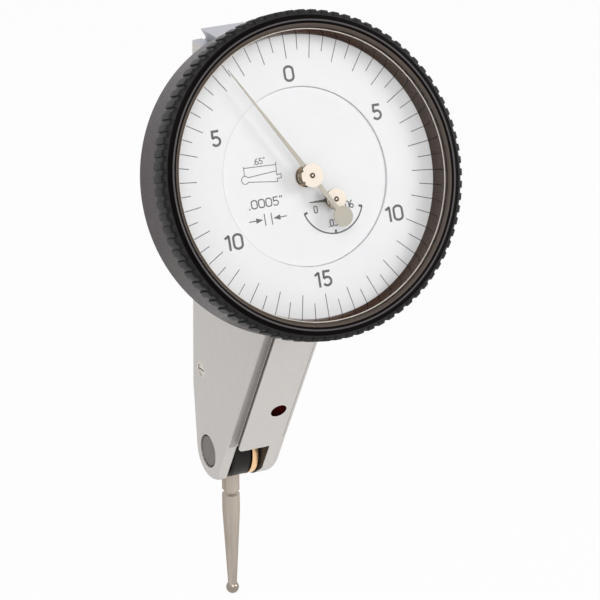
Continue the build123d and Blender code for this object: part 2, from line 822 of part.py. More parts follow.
# Holder of the contact point, with the washer and the nut that clamp it to the lever
holder_right = lever_left - running_gap
recess_depth = washer_thickness + nut_thickness
with BuildPart() as stylus_holder:
    add(rod(pivot_plane(holder_left), holder_radius, holder_right - holder_left, sleeve_radius + running_gap))
    chamfer(stylus_holder.edges().filter_by(GeomType.CIRCLE).sort_by(SortBy.RADIUS)[-2:], edge_chamfer)
    with BuildSketch(pivot_plane(holder_left)):
        Circle(nut_radius + 2 * running_gap)
    extrude(amount=recess_depth, mode=Mode.SUBTRACT)
    with BuildSketch(Plane.XY.offset(pivot.Z - point_shoulder)):
        with Locations((point_axis, pivot.Y)):
            Circle(socket_radius)
    extrude(amount=-holder_radius, mode=Mode.SUBTRACT)
    with BuildSketch(Plane.XY.offset(pivot.Z - point_shoulder)):
        with Locations((point_axis, pivot.Y)):
            Circle(point_thread_radius + thread_gap)
    extrude(amount=point_thread_length + running_gap, mode=Mode.SUBTRACT)

stylus_holder.part.label = "stylus_holder"
export_step(stylus_holder.part, "parts/stylus_holder.step")

with BuildPart() as friction_washer:
    add(rod(pivot_plane(holder_left + nut_thickness), nut_radius, washer_thickness - running_gap,
            sleeve_radius + thread_gap))

friction_washer.part.label = "friction_washer"
export_step(friction_washer.part, "parts/friction_washer.step")

with BuildPart() as sleeve_nut:
    add(rod(pivot_plane(holder_left), nut_radius, nut_thickness, sleeve_radius + thread_gap))
    with BuildSketch(pivot_plane(holder_left)):
        with PolarLocations(nut_radius, 2, start_angle=90):
            Rectangle(2 * nut_slot_depth, nut_slot)
    extrude(amount=nut_thickness / 2, mode=Mode.SUBTRACT)

sleeve_nut.part.label = "sleeve_nut"
export_step(sleeve_nut.part, "parts/sleeve_nut.step")

# Contact point with its thread, wrench flats, groove and taper, and the ball on its end
taper_end = contact_reach - ball_neck
thread_end = point_shoulder - point_thread_length
point_section = Plane(origin=pivot + across * point_axis, x_dir=across, z_dir=(0, 1, 0))
point_line = Axis(pivot + across * point_axis, (0, 0, -1))
with BuildPart() as contact_point:
    add(turned([(0, thread_end), (point_thread_radius, thread_end), (point_thread_radius, point_shoulder),
                (shank_radius, point_shoulder), (shank_radius, flats_end), (groove_radius, flats_end),
                (groove_radius, groove_end),
                (shank_radius, groove_end + edge_chamfer), (shank_radius, cylinder_end),
                (taper_end_radius, taper_end), (taper_end_radius, contact_reach), (0, contact_reach)],
               point_section, point_line))
    with BuildSketch(Plane.XY.offset(pivot.Z - flats_end)):
        with Locations((point_axis - shank_radius - flat_half_width, pivot.Y),
                       (point_axis + shank_radius + flat_half_width, pivot.Y)):
            Rectangle(2 * shank_radius, 2 * shank_radius)
    extrude(amount=flats_end - point_shoulder, mode=Mode.SUBTRACT)
    with Locations(pivot + across * point_axis - Vector(0, 0, contact_reach)):
        Sphere(ball_radius, mode=Mode.SUBTRACT)

contact_point.part.label = "contact_point"
export_step(contact_point.part, "parts/contact_point.step")

with BuildPart() as contact_ball:
    with Locations(pivot + across * point_axis - Vector(0, 0, contact_reach)):
        Sphere(ball_radius)

contact_ball.part.label = "contact_ball"
export_step(contact_ball.part, "parts/contact_ball.step")

# Crown wheel and its arbor with the small pinion that the sector drives
with BuildPart() as crown_wheel:
    add(turned([(crown_tooth_foot - crown_web - crown_rim, arbor_radius),
                (crown_tooth_foot - crown_web - crown_rim, crown_outer), (crown_tooth_foot, crown_outer),
                (crown_tooth_foot, crown_outer - crown_face),
                (crown_tooth_foot - crown_rim, crown_outer - crown_face),
                (crown_tooth_foot - crown_rim, 2 * arbor_radius), (crown_tooth_foot, 2 * arbor_radius),
                (crown_tooth_foot, arbor_radius)],
               Plane(origin=crown_center, x_dir=across, z_dir=-dial_up), Axis(crown_center, across)))
    with BuildSketch(arbor_plane(crown_tooth_foot)):
        with PolarLocations(crown_outer - crown_face / 2, crown_teeth, start_angle=180 / crown_teeth):
            Rectangle(crown_face, crown_tooth_fit * tooth_share * pi * centre_module)
    extrude(amount=crown_tooth_tip - crown_tooth_foot)

crown_wheel.part.label = "crown_wheel"
export_step(crown_wheel.part, "parts/crown_wheel.step")

lever_turn = degrees(atan2(lever_up.dot(-dial_up), lever_up.dot(dial_out)))
with BuildPart() as crown_arbor:
    add(rod(arbor_plane(cheek_left + journal_gap), journal_radius, carriage_width - 2 * journal_gap))
    add(rod(arbor_plane(journal_gap - cheek_inner), arbor_radius, 2 * (cheek_inner - journal_gap)))
    add(gear(arbor_plane(lever_left - running_gap), arbor_leaves, arbor_module, lever_turn + 180,
             lever_thickness + 2 * running_gap))

crown_arbor.part.label = "crown_arbor"
export_step(crown_arbor.part, "parts/crown_arbor.step")

# Centre pinion with the post that carries the main hand
leaves_back = foot_front - journal_gap
hub_top = hand_height + hand_thickness + hub_thickness
with BuildPart() as centre_pinion:
    add(rod(dial_plane.offset(-foot_front - foot_thickness), journal_radius, foot_front + foot_thickness))
    add(gear(dial_plane.offset(-leaves_back), centre_leaves, centre_module, 0,
             leaves_back + bridge_bottom - 4 * journal_gap))
    add(rod(dial_plane.offset(bridge_bottom - 4 * journal_gap), post_radius,
            hub_top + running_gap - bridge_bottom + 4 * journal_gap))

centre_pinion.part.label = "centre_pinion"
export_step(centre_pinion.part, "parts/centre_pinion.step")

with BuildPart() as hand_collar:
    add(rod(dial_plane.offset(collar_bottom), boss_radius, hand_height - collar_bottom, post_radius))
    add(rod(dial_plane.offset(bush_top), bush_radius, -bush_thickness, post_radius))
    add(rod(dial_plane.offset(collar_groove_height), boss_radius, collar_groove_width,
            boss_radius - collar_groove_depth), mode=Mode.SUBTRACT)

hand_collar.part.label = "hand_collar"
export_step(hand_collar.part, "parts/hand_collar.step")

# Main hand with its counterweight, and the hub on top of it
with BuildPart() as main_hand:
    with BuildSketch(dial_plane.offset(hand_height)):
        with PolarLocations(0, 1, start_angle=hand_rest):
            Polygon((0, -hand_base_half), (hand_tip_reach, -hand_tip_half), (hand_tip_reach, hand_tip_half),
                    (0, hand_base_half), align=None)
            Polygon((0, -hand_tail_half), (0, hand_tail_half), (-hand_tail_reach, hand_tail_half),
                    (-hand_tail_reach, -hand_tail_half), align=None)
            with Locations((-hand_tail_reach, 0)):
                Circle(hand_tail_radius)
        Circle(boss_radius)
        Circle(post_radius, mode=Mode.SUBTRACT)
    extrude(amount=hand_thickness)

main_hand.part.label = "main_hand"
export_step(main_hand.part, "parts/main_hand.step")

with BuildPart() as main_hub:
    add(notched_hub(dial_plane.offset(hand_height + hand_thickness), hub_radius, hub_thickness, post_radius))

main_hub.part.label = "main_hub"
export_step(main_hub.part, "parts/main_hub.step")

# Small hand's wheel, arbor and hairspring
wheel_bottom = case_floor + wheel_above_case
collet_bottom = wheel_bottom + wheel_thickness + collet_gap
small_hub_top = small_hand_height + hand_thickness + small_hub_thickness
small_turn = degrees(atan2(small_axis[1], small_axis[0])) + 180
mesh_turn = (small_turn % (360 / centre_leaves)) * centre_leaves / small_teeth
with BuildPart() as counter_wheel:
    add(gear(small_plane.offset(wheel_bottom), small_teeth, centre_module,
             small_turn + 180 / small_teeth + mesh_turn, wheel_thickness))
    with BuildSketch(small_plane.offset(wheel_bottom)):
        with PolarLocations(wheel_hole_reach, 4, start_angle=45):
            Circle(wheel_hole_radius)
        Circle(arbor_radius)
    extrude(amount=wheel_thickness, mode=Mode.SUBTRACT)

counter_wheel.part.label = "counter_wheel"
export_step(counter_wheel.part, "parts/counter_wheel.step")

with BuildPart() as counter_arbor:
    add(rod(small_plane.offset(-skirt_back + journal_gap), journal_radius, cup_floor))
    add(rod(small_plane.offset(case_floor + journal_gap), arbor_radius,
            bridge_bottom - case_floor - 2 * journal_gap))
    add(rod(small_plane.offset(bridge_bottom - journal_gap), small_post_radius,
            small_hub_top + journal_gap - bridge_bottom))

counter_arbor.part.label = "counter_arbor"
export_step(counter_arbor.part, "parts/counter_arbor.step")

with BuildPart() as small_hub:
    add(notched_hub(small_plane.offset(small_hand_height + hand_thickness), small_hub_radius,
                    small_hub_thickness, small_post_radius))
    add(rod(small_plane.offset(collar_bottom), small_boss_radius,
            small_hand_height + hand_thickness - collar_bottom, small_post_radius))

small_hub.part.label = "small_hub"
export_step(small_hub.part, "parts/small_hub.step")

with BuildPart() as small_hand:
    with BuildSketch(small_plane.offset(small_hand_height)):
        with PolarLocations(0, 1, start_angle=small_hand_rest):
            Polygon((0, -hand_tail_half), (small_hand_reach, -hand_tip_half),
                    (small_hand_reach, hand_tip_half), (0, hand_tail_half), align=None)
        Circle(small_boss_radius + hand_tail_half)
        Circle(small_boss_radius, mode=Mode.SUBTRACT)
    extrude(amount=hand_thickness)

small_hand.part.label = "small_hand"
export_step(small_hand.part, "parts/small_hand.step")

with BuildPart() as hairspring_collet:
    add(rod(small_plane.offset(collet_bottom), collet_radius, 2 * spring_strip_height, arbor_radius))

hairspring_collet.part.label = "hairspring_collet"
export_step(hairspring_collet.part, "parts/hairspring_collet.step")

# Hairspring: half circles about two centres, each a little wider than the last
spring_start = collet_radius + spring_strip / 2
spring_plane = small_plane.offset(collet_bottom + spring_strip_height / 2)
with BuildPart() as hairspring:
    with BuildSketch(spring_plane):
        with BuildLine():
            for half in range(2 * spring_turns):
                side = half % 2
                arc_radius = spring_start + half * spring_pitch / 2
                CenterArc((side * spring_pitch / 2, 0), arc_radius, 180 * side, 180)
        trace(line_width=spring_strip)
    extrude(amount=spring_strip_height)

hairspring.part.label = "hairspring"
export_step(hairspring.part, "parts/hairspring.step")

# Stud that holds the outer end of the hairspring below the bridge
spring_end = collet_radius + spring_strip + spring_turns * spring_pitch
with BuildPart() as hairspring_stud:
    with BuildSketch(spring_plane):
        with Locations((spring_end + stud_width / 2, 0)):
            Rectangle(stud_width, stud_width)
    extrude(amount=bridge_bottom - collet_bottom - spring_strip_height / 2)

hairspring_stud.part.label = "hairspring_stud"
export_step(hairspring_stud.part, "parts/hairspring_stud.step")

# Small screws and the seal in the body
with BuildPart() as side_set_screw:
    with BuildSketch(pivot_plane(-body_width / 2 + pivot_screw_recess)):
        with Locations((side_screw_behind, side_screw_above)):
            Circle(side_screw_radius)
    extrude(amount=side_screw_depth - pivot_screw_recess)
    with BuildSketch(pivot_plane(-body_width / 2 + pivot_screw_recess)):
        with Locations((side_screw_behind, side_screw_above)):
            Rectangle(2 * slot_overrun * side_screw_radius, driver_slot)
    extrude(amount=side_screw_depth / 3, mode=Mode.SUBTRACT)

side_set_screw.part.label = "side_set_screw"
export_step(side_set_screw.part, "parts/side_set_screw.step")

seal_plane = Plane(origin=stem_plane.origin + across * seal_right + stem_up * seal_along, x_dir=across,
                   z_dir=stem_out)
with BuildPart() as adjusting_screw:
    add(rod(seal_plane.offset(-seal_depth), seal_radius - thread_gap,
            seal_depth - seal_recess - seal_thickness))

adjusting_screw.part.label = "adjusting_screw"
export_step(adjusting_screw.part, "parts/adjusting_screw.step")

with BuildPart() as seal_plug:
    add(rod(seal_plane.offset(-seal_recess), seal_radius, -seal_thickness))

seal_plug.part.label = "seal_plug"
export_step(seal_plug.part, "parts/seal_plug.step")
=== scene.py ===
"""Looks of the dial test indicator: printed dial, knurled bezel, hands, finishes, studio and camera."""

import json
import math

import bpy
import numpy as np
from mathutils import Matrix, Vector


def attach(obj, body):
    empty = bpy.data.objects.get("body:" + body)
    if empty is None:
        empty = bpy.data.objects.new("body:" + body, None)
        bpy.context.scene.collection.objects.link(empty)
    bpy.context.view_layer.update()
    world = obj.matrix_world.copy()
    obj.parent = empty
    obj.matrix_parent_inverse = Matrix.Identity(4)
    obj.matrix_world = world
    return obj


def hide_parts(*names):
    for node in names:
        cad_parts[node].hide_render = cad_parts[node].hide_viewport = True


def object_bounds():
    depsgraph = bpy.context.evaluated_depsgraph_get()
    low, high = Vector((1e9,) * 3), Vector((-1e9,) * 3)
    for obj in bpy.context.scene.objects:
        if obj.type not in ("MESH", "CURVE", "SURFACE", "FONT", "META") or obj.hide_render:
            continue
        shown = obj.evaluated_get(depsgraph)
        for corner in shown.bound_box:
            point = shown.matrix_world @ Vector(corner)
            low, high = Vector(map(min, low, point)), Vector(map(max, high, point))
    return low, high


bl_info = {
    "name": "Dial Test Indicator Looks",
    "version": (1, 0, 0),
    "blender": (4, 5, 0),
    "location": "3D View > Sidebar > Indicator",
    "description": "Dresses the dial test indicator with its printed dial, bezel, hands and finishes",
    "category": "Object",
}

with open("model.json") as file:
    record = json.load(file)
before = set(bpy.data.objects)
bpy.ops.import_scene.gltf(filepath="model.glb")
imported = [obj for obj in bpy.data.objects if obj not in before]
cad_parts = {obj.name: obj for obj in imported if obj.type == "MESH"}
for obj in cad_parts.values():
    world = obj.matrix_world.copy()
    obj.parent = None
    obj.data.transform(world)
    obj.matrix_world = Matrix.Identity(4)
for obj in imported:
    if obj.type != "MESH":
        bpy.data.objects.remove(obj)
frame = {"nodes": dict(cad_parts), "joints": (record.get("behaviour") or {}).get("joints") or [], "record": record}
cad_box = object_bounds()

MM = 0.001
JOINTS = {joint["name"]: joint for joint in frame["joints"]}

# The dial's own directions: right, up its face and out towards the reader
DIAL_CENTRE = np.array(JOINTS["bezel_turn"]["pos_m"])
DIAL_OUT = np.array(JOINTS["bezel_turn"]["axis"]) / np.linalg.norm(JOINTS["bezel_turn"]["axis"])
DIAL_RIGHT = np.array([1.0, 0.0, 0.0])
DIAL_UP = np.cross(DIAL_OUT, DIAL_RIGHT)
SMALL_CENTRE = np.array(JOINTS["counter_turn"]["pos_m"])
PIVOT = np.array(JOINTS["lever_swing"]["pos_m"])
SMALL_RIGHT = (SMALL_CENTRE - DIAL_CENTRE) @ DIAL_RIGHT / MM
SMALL_UP = (SMALL_CENTRE - DIAL_CENTRE) @ DIAL_UP / MM

# The stem's own directions: out from its front rail and up along it
STEM_RAIL = next(mount for mount in frame["record"]["mounts"] if mount["name"] == "front_dovetail")
STEM_PLACE = np.array(STEM_RAIL["pos_m"])
STEM_OUT = np.array(STEM_RAIL["axis"]) / np.linalg.norm(STEM_RAIL["axis"])
STEM_UP = np.cross(DIAL_RIGHT, STEM_OUT)

# Parts of the body with a finish of their own, in metres: how far the fork, whose side walls get painted
# shade, reaches to each side of the middle and up from the pivot, how far the end rail and its shoulders
# reach down from the origin, and how far the seal's hole reaches each way from the seal
FORK_SIDE = 2.75 * MM
FORK_ABOVE_PIVOT = 5.0 * MM
END_RAIL_REACH = 2.2 * MM
SEAL_HOLE_REACH = 3.0 * MM

# How far print stands over the dial, in millimetres
PRINT_LIFT = 0.012


def mm_on_dial(x, up, out):
    """Points in metres for places in millimetres right of, up from and out from the dial's centre."""
    x, up, out = np.broadcast_arrays(np.asarray(x, float), up, out)
    offset = x[..., None] * DIAL_RIGHT + up[..., None] * DIAL_UP + out[..., None] * DIAL_OUT
    return DIAL_CENTRE + MM * offset


def node_places(node):
    """The places of a CAD node's corners, in metres."""
    mesh = frame["nodes"][node].data
    places = np.zeros(len(mesh.vertices) * 3)
    mesh.vertices.foreach_get("co", places)
    return places.reshape(-1, 3)


def height_on_dial(node):
    """How far a CAD node reaches out from the dial's face, in millimetres: its lowest and highest point."""
    heights = (node_places(node) - DIAL_CENTRE) @ DIAL_OUT / MM
    return heights.min(), heights.max()


class DialPrint(bpy.types.PropertyGroup):
    """Sizes of what is printed on the dial."""

    tick_outer: bpy.props.FloatProperty(
        name="Tick Outer Radius", description="Where the graduation lines end, below the bezel",
        default=17.2 * MM, unit="LENGTH")
    tick_long: bpy.props.FloatProperty(
        name="Long Tick Inner Radius", description="Where the even graduation lines start",
        default=14.36 * MM, unit="LENGTH")
    tick_short: bpy.props.FloatProperty(
        name="Short Tick Inner Radius", description="Where the odd graduation lines start",
        default=15.35 * MM, unit="LENGTH")
    tick_width: bpy.props.FloatProperty(
        name="Tick Width", description="Width of a graduation line", default=0.10 * MM, unit="LENGTH")
    numeral_height: bpy.props.FloatProperty(
        name="Numeral Height", description="Height of the large numerals", default=1.95 * MM, unit="LENGTH")
    numeral_radius: bpy.props.FloatProperty(
        name="Numeral Radius", description="Distance of the numerals from the centre",
        default=12.55 * MM, unit="LENGTH")
    ink: bpy.props.FloatVectorProperty(
        name="Ink", description="Colour of the print", subtype="COLOR", size=3, min=0, max=1,
        default=(0.10, 0.10, 0.103))
    face: bpy.props.FloatVectorProperty(
        name="Dial Face", description="Colour of the dial", subtype="COLOR", size=3, min=0, max=1,
        default=(0.84, 0.84, 0.85))


class BezelShape(bpy.types.PropertyGroup):
    """Sizes of the knurled bezel."""

    knurl_radius: bpy.props.FloatProperty(
        name="Knurl Radius", description="Radius over the tips of the knurl", default=20.0 * MM,
        unit="LENGTH")
    knurl_floor: bpy.props.FloatProperty(
        name="Knurl Floor Radius", description="Radius at the bottom of the knurl's grooves",
        default=19.78 * MM, unit="LENGTH")
    teeth: bpy.props.IntProperty(
        name="Knurl Teeth", description="Teeth round the bezel", default=82, min=12, max=200)
    first_tooth: bpy.props.FloatProperty(
        name="First Tooth", description="Where the first tooth stands, from the dial's right",
        default=math.radians(1.1), subtype="ANGLE")
    groove_share: bpy.props.FloatProperty(
        name="Groove Share", description="Part of the pitch that a groove takes", default=0.44,
        min=0.1, max=0.9)
    edge: bpy.props.FloatProperty(
        name="Edge Rounding", description="Radius of the broken edges", default=0.05 * MM, unit="LENGTH")
    skirt: bpy.props.FloatVectorProperty(
        name="Skirt Colour", description="Colour of the smooth skirt", subtype="COLOR", size=3, min=0, max=1,
        default=(0.070, 0.054, 0.056))
    knurl: bpy.props.FloatVectorProperty(
        name="Knurl Colour", description="Colour of the knurl", subtype="COLOR", size=3, min=0, max=1,
        default=(0.016, 0.015, 0.015))


class HandShape(bpy.types.PropertyGroup):
    """Pins and colour of the hubs on the hands."""

    pin_radius: bpy.props.FloatProperty(
        name="Pin Radius", description="Radius of the pin in a hub", default=0.125 * MM, unit="LENGTH")
    colour: bpy.props.FloatVectorProperty(
        name="Hub Colour", description="Colour of the hubs", subtype="COLOR", size=3, min=0, max=1,
        default=(0.80, 0.71, 0.61))


class StemShape(bpy.types.PropertyGroup):
    """Sizes of the strips beside the rail on the stem, and of the rim round the small screw."""

    rail_depth: bpy.props.FloatProperty(
        name="Rail Depth", description="How far the ledge lies below the rail's face", default=0.95 * MM,
        unit="LENGTH")
    relief_start: bpy.props.FloatProperty(
        name="Relief Start", description="Where the relief starts at the rail's foot, from the middle",
        default=2.47 * MM, unit="LENGTH")
    relief_end: bpy.props.FloatProperty(
        name="Relief End", description="Where the relief ends on the ledge, from the middle",
        default=2.70 * MM, unit="LENGTH")
    # The ledge's part out to here is coloured a plain darker grey than the body
    ledge_end: bpy.props.FloatProperty(
        name="Ledge End", description="Where the ground part of the ledge ends, from the middle",
        default=3.88 * MM, unit="LENGTH")
    # The bright edge beside the relief is a painted highlight
    painted_highlight_width: bpy.props.FloatProperty(
        name="Burr", description="Width of the bright edge beside the relief", default=0.12 * MM,
        unit="LENGTH")
    screw_rim: bpy.props.FloatProperty(
        name="Screw Rim", description="Width of the bright edge round the small screw", default=0.16 * MM,
        unit="LENGTH")


class StudioSetup(bpy.types.PropertyGroup):
    """Camera, and brightness of the surroundings."""

    lens: bpy.props.FloatProperty(
        name="Lens", description="Focal length on a 36 mm sensor", default=217.2, min=20, max=600)
    camera_place: bpy.props.FloatVectorProperty(
        name="Camera Place", description="Camera seen from the dial's centre", subtype="TRANSLATION", size=3,
        default=(-0.1868, -0.3690, 0.1410))
    sky: bpy.props.FloatProperty(
        name="Surroundings", description="Brightness of the white studio round the object",
        default=0.43, min=0, max=2)


def add_mesh(name, points, faces, body, material, smooth=True):
    """Makes a finished piece at the origin from points in metres, riding on a body."""
    mesh = bpy.data.meshes.new(name)
    corners = [[int(index) for index in face] for face in faces]
    mesh.from_pydata(np.asarray(points, float).reshape(-1, 3).tolist(), [], corners)
    mesh.update()
    if smooth:
        mesh.shade_smooth()
    else:
        mesh.shade_flat()
    mesh.materials.append(material)
    piece = bpy.data.objects.new(name, mesh)
    bpy.context.scene.collection.objects.link(piece)
    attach(piece, body)
    return piece


def lattice(rows, columns, close_rows=False, close_columns=False):
    """Quads of a grid of rows by columns, joined round where it closes."""
    row = np.arange(rows if close_rows else rows - 1)
    column = np.arange(columns if close_columns else columns - 1)
    r, c = np.meshgrid(row, column, indexing="ij")
    r_next, c_next = (r + 1) % rows, (c + 1) % columns
    return np.stack([r * columns + c, r * columns + c_next, r_next * columns + c_next, r_next * columns + c],
                    axis=-1).reshape(-1, 4)


def rounded_outline(corners, rounding, steps=3):
    """A closed outline through corners (radius, height), each corner cut back by the rounding and replaced
    by a short curve: P(t) = (1-t)^2 A + 2 t (1-t) C + t^2 B, with C the corner and A, B its cut-back
    points."""
    corner = np.asarray(corners, float)
    before, after = np.roll(corner, 1, axis=0) - corner, np.roll(corner, -1, axis=0) - corner
    long_before = np.linalg.norm(before, axis=1, keepdims=True)
    long_after = np.linalg.norm(after, axis=1, keepdims=True)
    reach = np.minimum(rounding, 0.45 * np.minimum(long_before, long_after))
    start, end = corner + before / long_before * reach, corner + after / long_after * reach
    t = np.linspace(0, 1, steps + 1)[None, :, None]
    curve = (1 - t) ** 2 * start[:, None] + 2 * t * (1 - t) * corner[:, None] + t ** 2 * end[:, None]
    return curve.reshape(-1, 2)


def turned_points(outline, turns, centre_x=0.0, centre_up=0.0):
    """An outline (radius, height) carried round the dial's direction: x = r cos a, up = r sin a."""
    radius, height = outline[..., 0], outline[..., 1]
    return mm_on_dial(centre_x + radius * np.cos(turns), centre_up + radius * np.sin(turns), height)


def capped_disc(name, outline, centre, body, material, segments=96):
    """A turned solid whose outline starts and ends on its own axis, as one closed surface: rings of the
    outline carried round, with one point at each pole."""
    turns = np.linspace(0, 2 * np.pi, segments, endpoint=False)
    rings = np.asarray(outline, float)
    inner = turned_points(rings[1:-1, None, :] * np.ones((1, segments, 1)), turns[None, :], *centre)
    poles = turned_points(rings[[0, -1]], np.zeros(2), *centre)
    count = len(rings) - 2
    quads = lattice(count, segments, close_columns=True).tolist()
    around = np.arange(segments)
    first = np.stack([np.full(segments, count * segments), (around + 1) % segments, around], axis=1)
    last_row = (count - 1) * segments
    last = np.stack([np.full(segments, count * segments + 1), last_row + around,
                     last_row + (around + 1) % segments], axis=1)
    points = np.concatenate([inner.reshape(-1, 3), poles])
    return add_mesh(name, points, quads + first.tolist() + last.tolist(), body, material)


# Strokes of the printed characters
def arc(centre_x, centre_y, radius_x, radius_y, start, end, steps=20):
    """Points of an ellipse's arc: (cx + rx cos a, cy + ry sin a), with a in degrees from start to end."""
    angle = np.radians(np.linspace(start, end, steps))
    return np.stack([centre_x + radius_x * np.cos(angle), centre_y + radius_y * np.sin(angle)], axis=1)


def line(*places):
    """A stroke through the given places."""
    return np.array(places, float)


# Each character has its width and its strokes, drawn in a box of height 1 by lines and arcs
CHARACTERS = {
    "0": (0.60, [np.concatenate([arc(0.30, 0.71, 0.23, 0.23, 0, 180), arc(0.30, 0.29, 0.23, 0.23, 180, 360),
                                 arc(0.30, 0.71, 0.23, 0.23, 0, 0, 1)])]),
    "1": (0.50, [line((0.34, 0.0), (0.34, 0.94)), line((0.36, 0.94), (0.12, 0.76))]),
    "3": (0.58, [arc(0.28, 0.73, 0.20, 0.21, 155, -90), arc(0.28, 0.29, 0.23, 0.23, 90, -155)]),
    "5": (0.58, [line((0.47, 0.94), (0.12, 0.94), (0.10, 0.52)),
                 arc(0.26, 0.32, 0.22, 0.26, 140, -150, 28)]),
    "6": (0.58, [arc(0.29, 0.29, 0.22, 0.23, 0, 360, 32), arc(0.42, 0.36, 0.35, 0.58, 88, 178, 16)]),
    ".": (0.24, [line((0.05, 0.06), (0.17, 0.06))]),
    '"': (0.34, [line((0.08, 1.02), (0.08, 0.80)), line((0.22, 1.02), (0.22, 0.80))]),
}


def ribbon(path, width, closed=False):
    """The left and right edge of a stroke: each point moved half the width along the mean normal of its
    two neighbouring segments, lengthened at a bend by one over the cosine of half the turn."""
    path = np.asarray(path, float)
    step = np.diff(path, axis=0)
    step = step / np.maximum(np.linalg.norm(step, axis=1, keepdims=True), 1e-12)
    ahead, behind = np.concatenate([step, step[-1:]]), np.concatenate([step[:1], step])
    if closed:
        behind[0], ahead[-1] = step[-1], step[0]
    mean = ahead + behind
    mean = mean / np.maximum(np.linalg.norm(mean, axis=1, keepdims=True), 1e-12)
    stretch = 1 / np.maximum((mean * ahead).sum(axis=1, keepdims=True), 0.5)
    normal = np.stack([-mean[:, 1], mean[:, 0]], axis=1) * stretch * width / 2
    return path + normal, path - normal


class Print:
    """Gathers flat printed strokes and areas, in dial millimetres, for one mesh."""

    def __init__(self, height):
        self.height = height
        self.points = []
        self.faces = []
        self.count = 0

    def area(self, outline):
        """A filled convex outline, given anticlockwise as the reader sees it."""
        outline = np.asarray(outline, float)
        self.points.append(outline)
        self.faces.append(list(range(self.count, self.count + len(outline))))
        self.count += len(outline)

    def stroke(self, path, width):
        """A line of even width along a path."""
        path = np.asarray(path, float)
        closed = len(path) > 3 and np.allclose(path[0], path[-1])
        left, right = ribbon(path, width, closed)
        size = len(path)
        self.points.append(np.concatenate([left, right]))
        i = np.arange(size - 1)
        quads = np.stack([i, i + size, i + size + 1, i + 1], axis=1) + self.count
        self.faces.extend(quads.tolist())
        self.count += 2 * size

    def words(self, text, x, up, height, weight, stretch=1.0):
        """Characters of a given height in a row centred on x, drawn wider by the stretch."""
        across = height * stretch
        start = x - sum(CHARACTERS[character][0] for character in text) * across / 2
        for character in text:
            advance, strokes = CHARACTERS[character]
            for path in strokes:
                self.stroke(path * (across, height) + (start, up), weight)
            start += advance * across

    def finish(self, name, body, slot, material):
        """Makes the gathered print a piece just above the dial."""
        flat = np.concatenate(self.points)
        points = mm_on_dial(flat[:, 0], flat[:, 1], self.height)
        return add_mesh(name, points, self.faces, body, material, smooth=False)


def nodes_of(material):
    """The node tree of a new material and its shader."""
    material.use_nodes = True
    tree = material.node_tree
    return tree, tree.nodes["Principled BSDF"]


def add_grain(tree, scale, detail, stretch=(1.0, 1.0, 1.0)):
    """Noise on object coordinates, with scale in grains per metre, stretched along an axis for brushing."""
    where = tree.nodes.new("ShaderNodeTexCoord")
    place = tree.nodes.new("ShaderNodeMapping")
    place.inputs["Scale"].default_value = stretch
    noise = tree.nodes.new("ShaderNodeTexNoise")
    noise.inputs["Scale"].default_value = scale
    noise.inputs["Detail"].default_value = detail
    tree.links.new(where.outputs["Object"], place.inputs["Vector"])
    tree.links.new(place.outputs["Vector"], noise.inputs["Vector"])
    return noise


def spread(tree, source, low, high, start=0.3, end=0.7):
    """Maps start..end, by default the middle of a noise, onto low..high."""
    remap = tree.nodes.new("ShaderNodeMapRange")
    remap.inputs["From Min"].default_value = start
    remap.inputs["From Max"].default_value = end
    remap.inputs["To Min"].default_value = low
    remap.inputs["To Max"].default_value = high
    tree.links.new(source, remap.inputs["Value"])
    return remap.outputs["Result"]


def tint(tree, source, dark, light):
    """A colour between dark and light, chosen by a 0..1 value."""
    mix = tree.nodes.new("ShaderNodeMix")
    mix.data_type = "RGBA"
    mix.inputs["A"].default_value = (*dark, 1)
    mix.inputs["B"].default_value = (*light, 1)
    tree.links.new(source, mix.inputs["Factor"])
    return mix.outputs["Result"]


def finish_material(name, colour, metallic, roughness, grain=4000.0, variation=0.06, roughness_spread=0.05,
                    bump=0.02, stretch=(1.0, 1.0, 1.0), coat=0.0, specular=0.5):
    """A finish with fine grain: the colour varies in clouds, the roughness varies with the grain, and the
    grain is a slight relief."""
    material = bpy.data.materials.new(name)
    tree, shader = nodes_of(material)
    noise = add_grain(tree, grain, 3.0, stretch)
    cloud = add_grain(tree, grain / 18, 2.0, stretch)
    dark = [c * (1 - variation) for c in colour]
    light = [min(1.0, c * (1 + variation)) for c in colour]
    tree.links.new(tint(tree, spread(tree, cloud.outputs["Fac"], 0.0, 1.0), dark, light),
                   shader.inputs["Base Color"])
    smoothest, roughest = roughness - roughness_spread, roughness + roughness_spread
    tree.links.new(spread(tree, noise.outputs["Fac"], smoothest, roughest), shader.inputs["Roughness"])
    relief = tree.nodes.new("ShaderNodeBump")
    relief.inputs["Strength"].default_value = 0.35
    relief.inputs["Distance"].default_value = bump * MM
    tree.links.new(noise.outputs["Fac"], relief.inputs["Height"])
    tree.links.new(relief.outputs["Normal"], shader.inputs["Normal"])
    shader.inputs["Metallic"].default_value = metallic
    shader.inputs["Coat Weight"].default_value = coat
    shader.inputs["Specular IOR Level"].default_value = specular
    return material


def seen_ray(tree):
    """One for rays of the camera and those that metal and glass pass on, otherwise zero."""
    path = tree.nodes.new("ShaderNodeLightPath")
    seen = path.outputs["Is Camera Ray"]
    for kind in ("Is Glossy Ray", "Is Transmission Ray"):
        largest = tree.nodes.new("ShaderNodeMath")
        largest.operation = "MAXIMUM"
        tree.links.new(seen, largest.inputs[0])
        tree.links.new(path.outputs[kind], largest.inputs[1])
        seen = largest.outputs["Value"]
    return seen


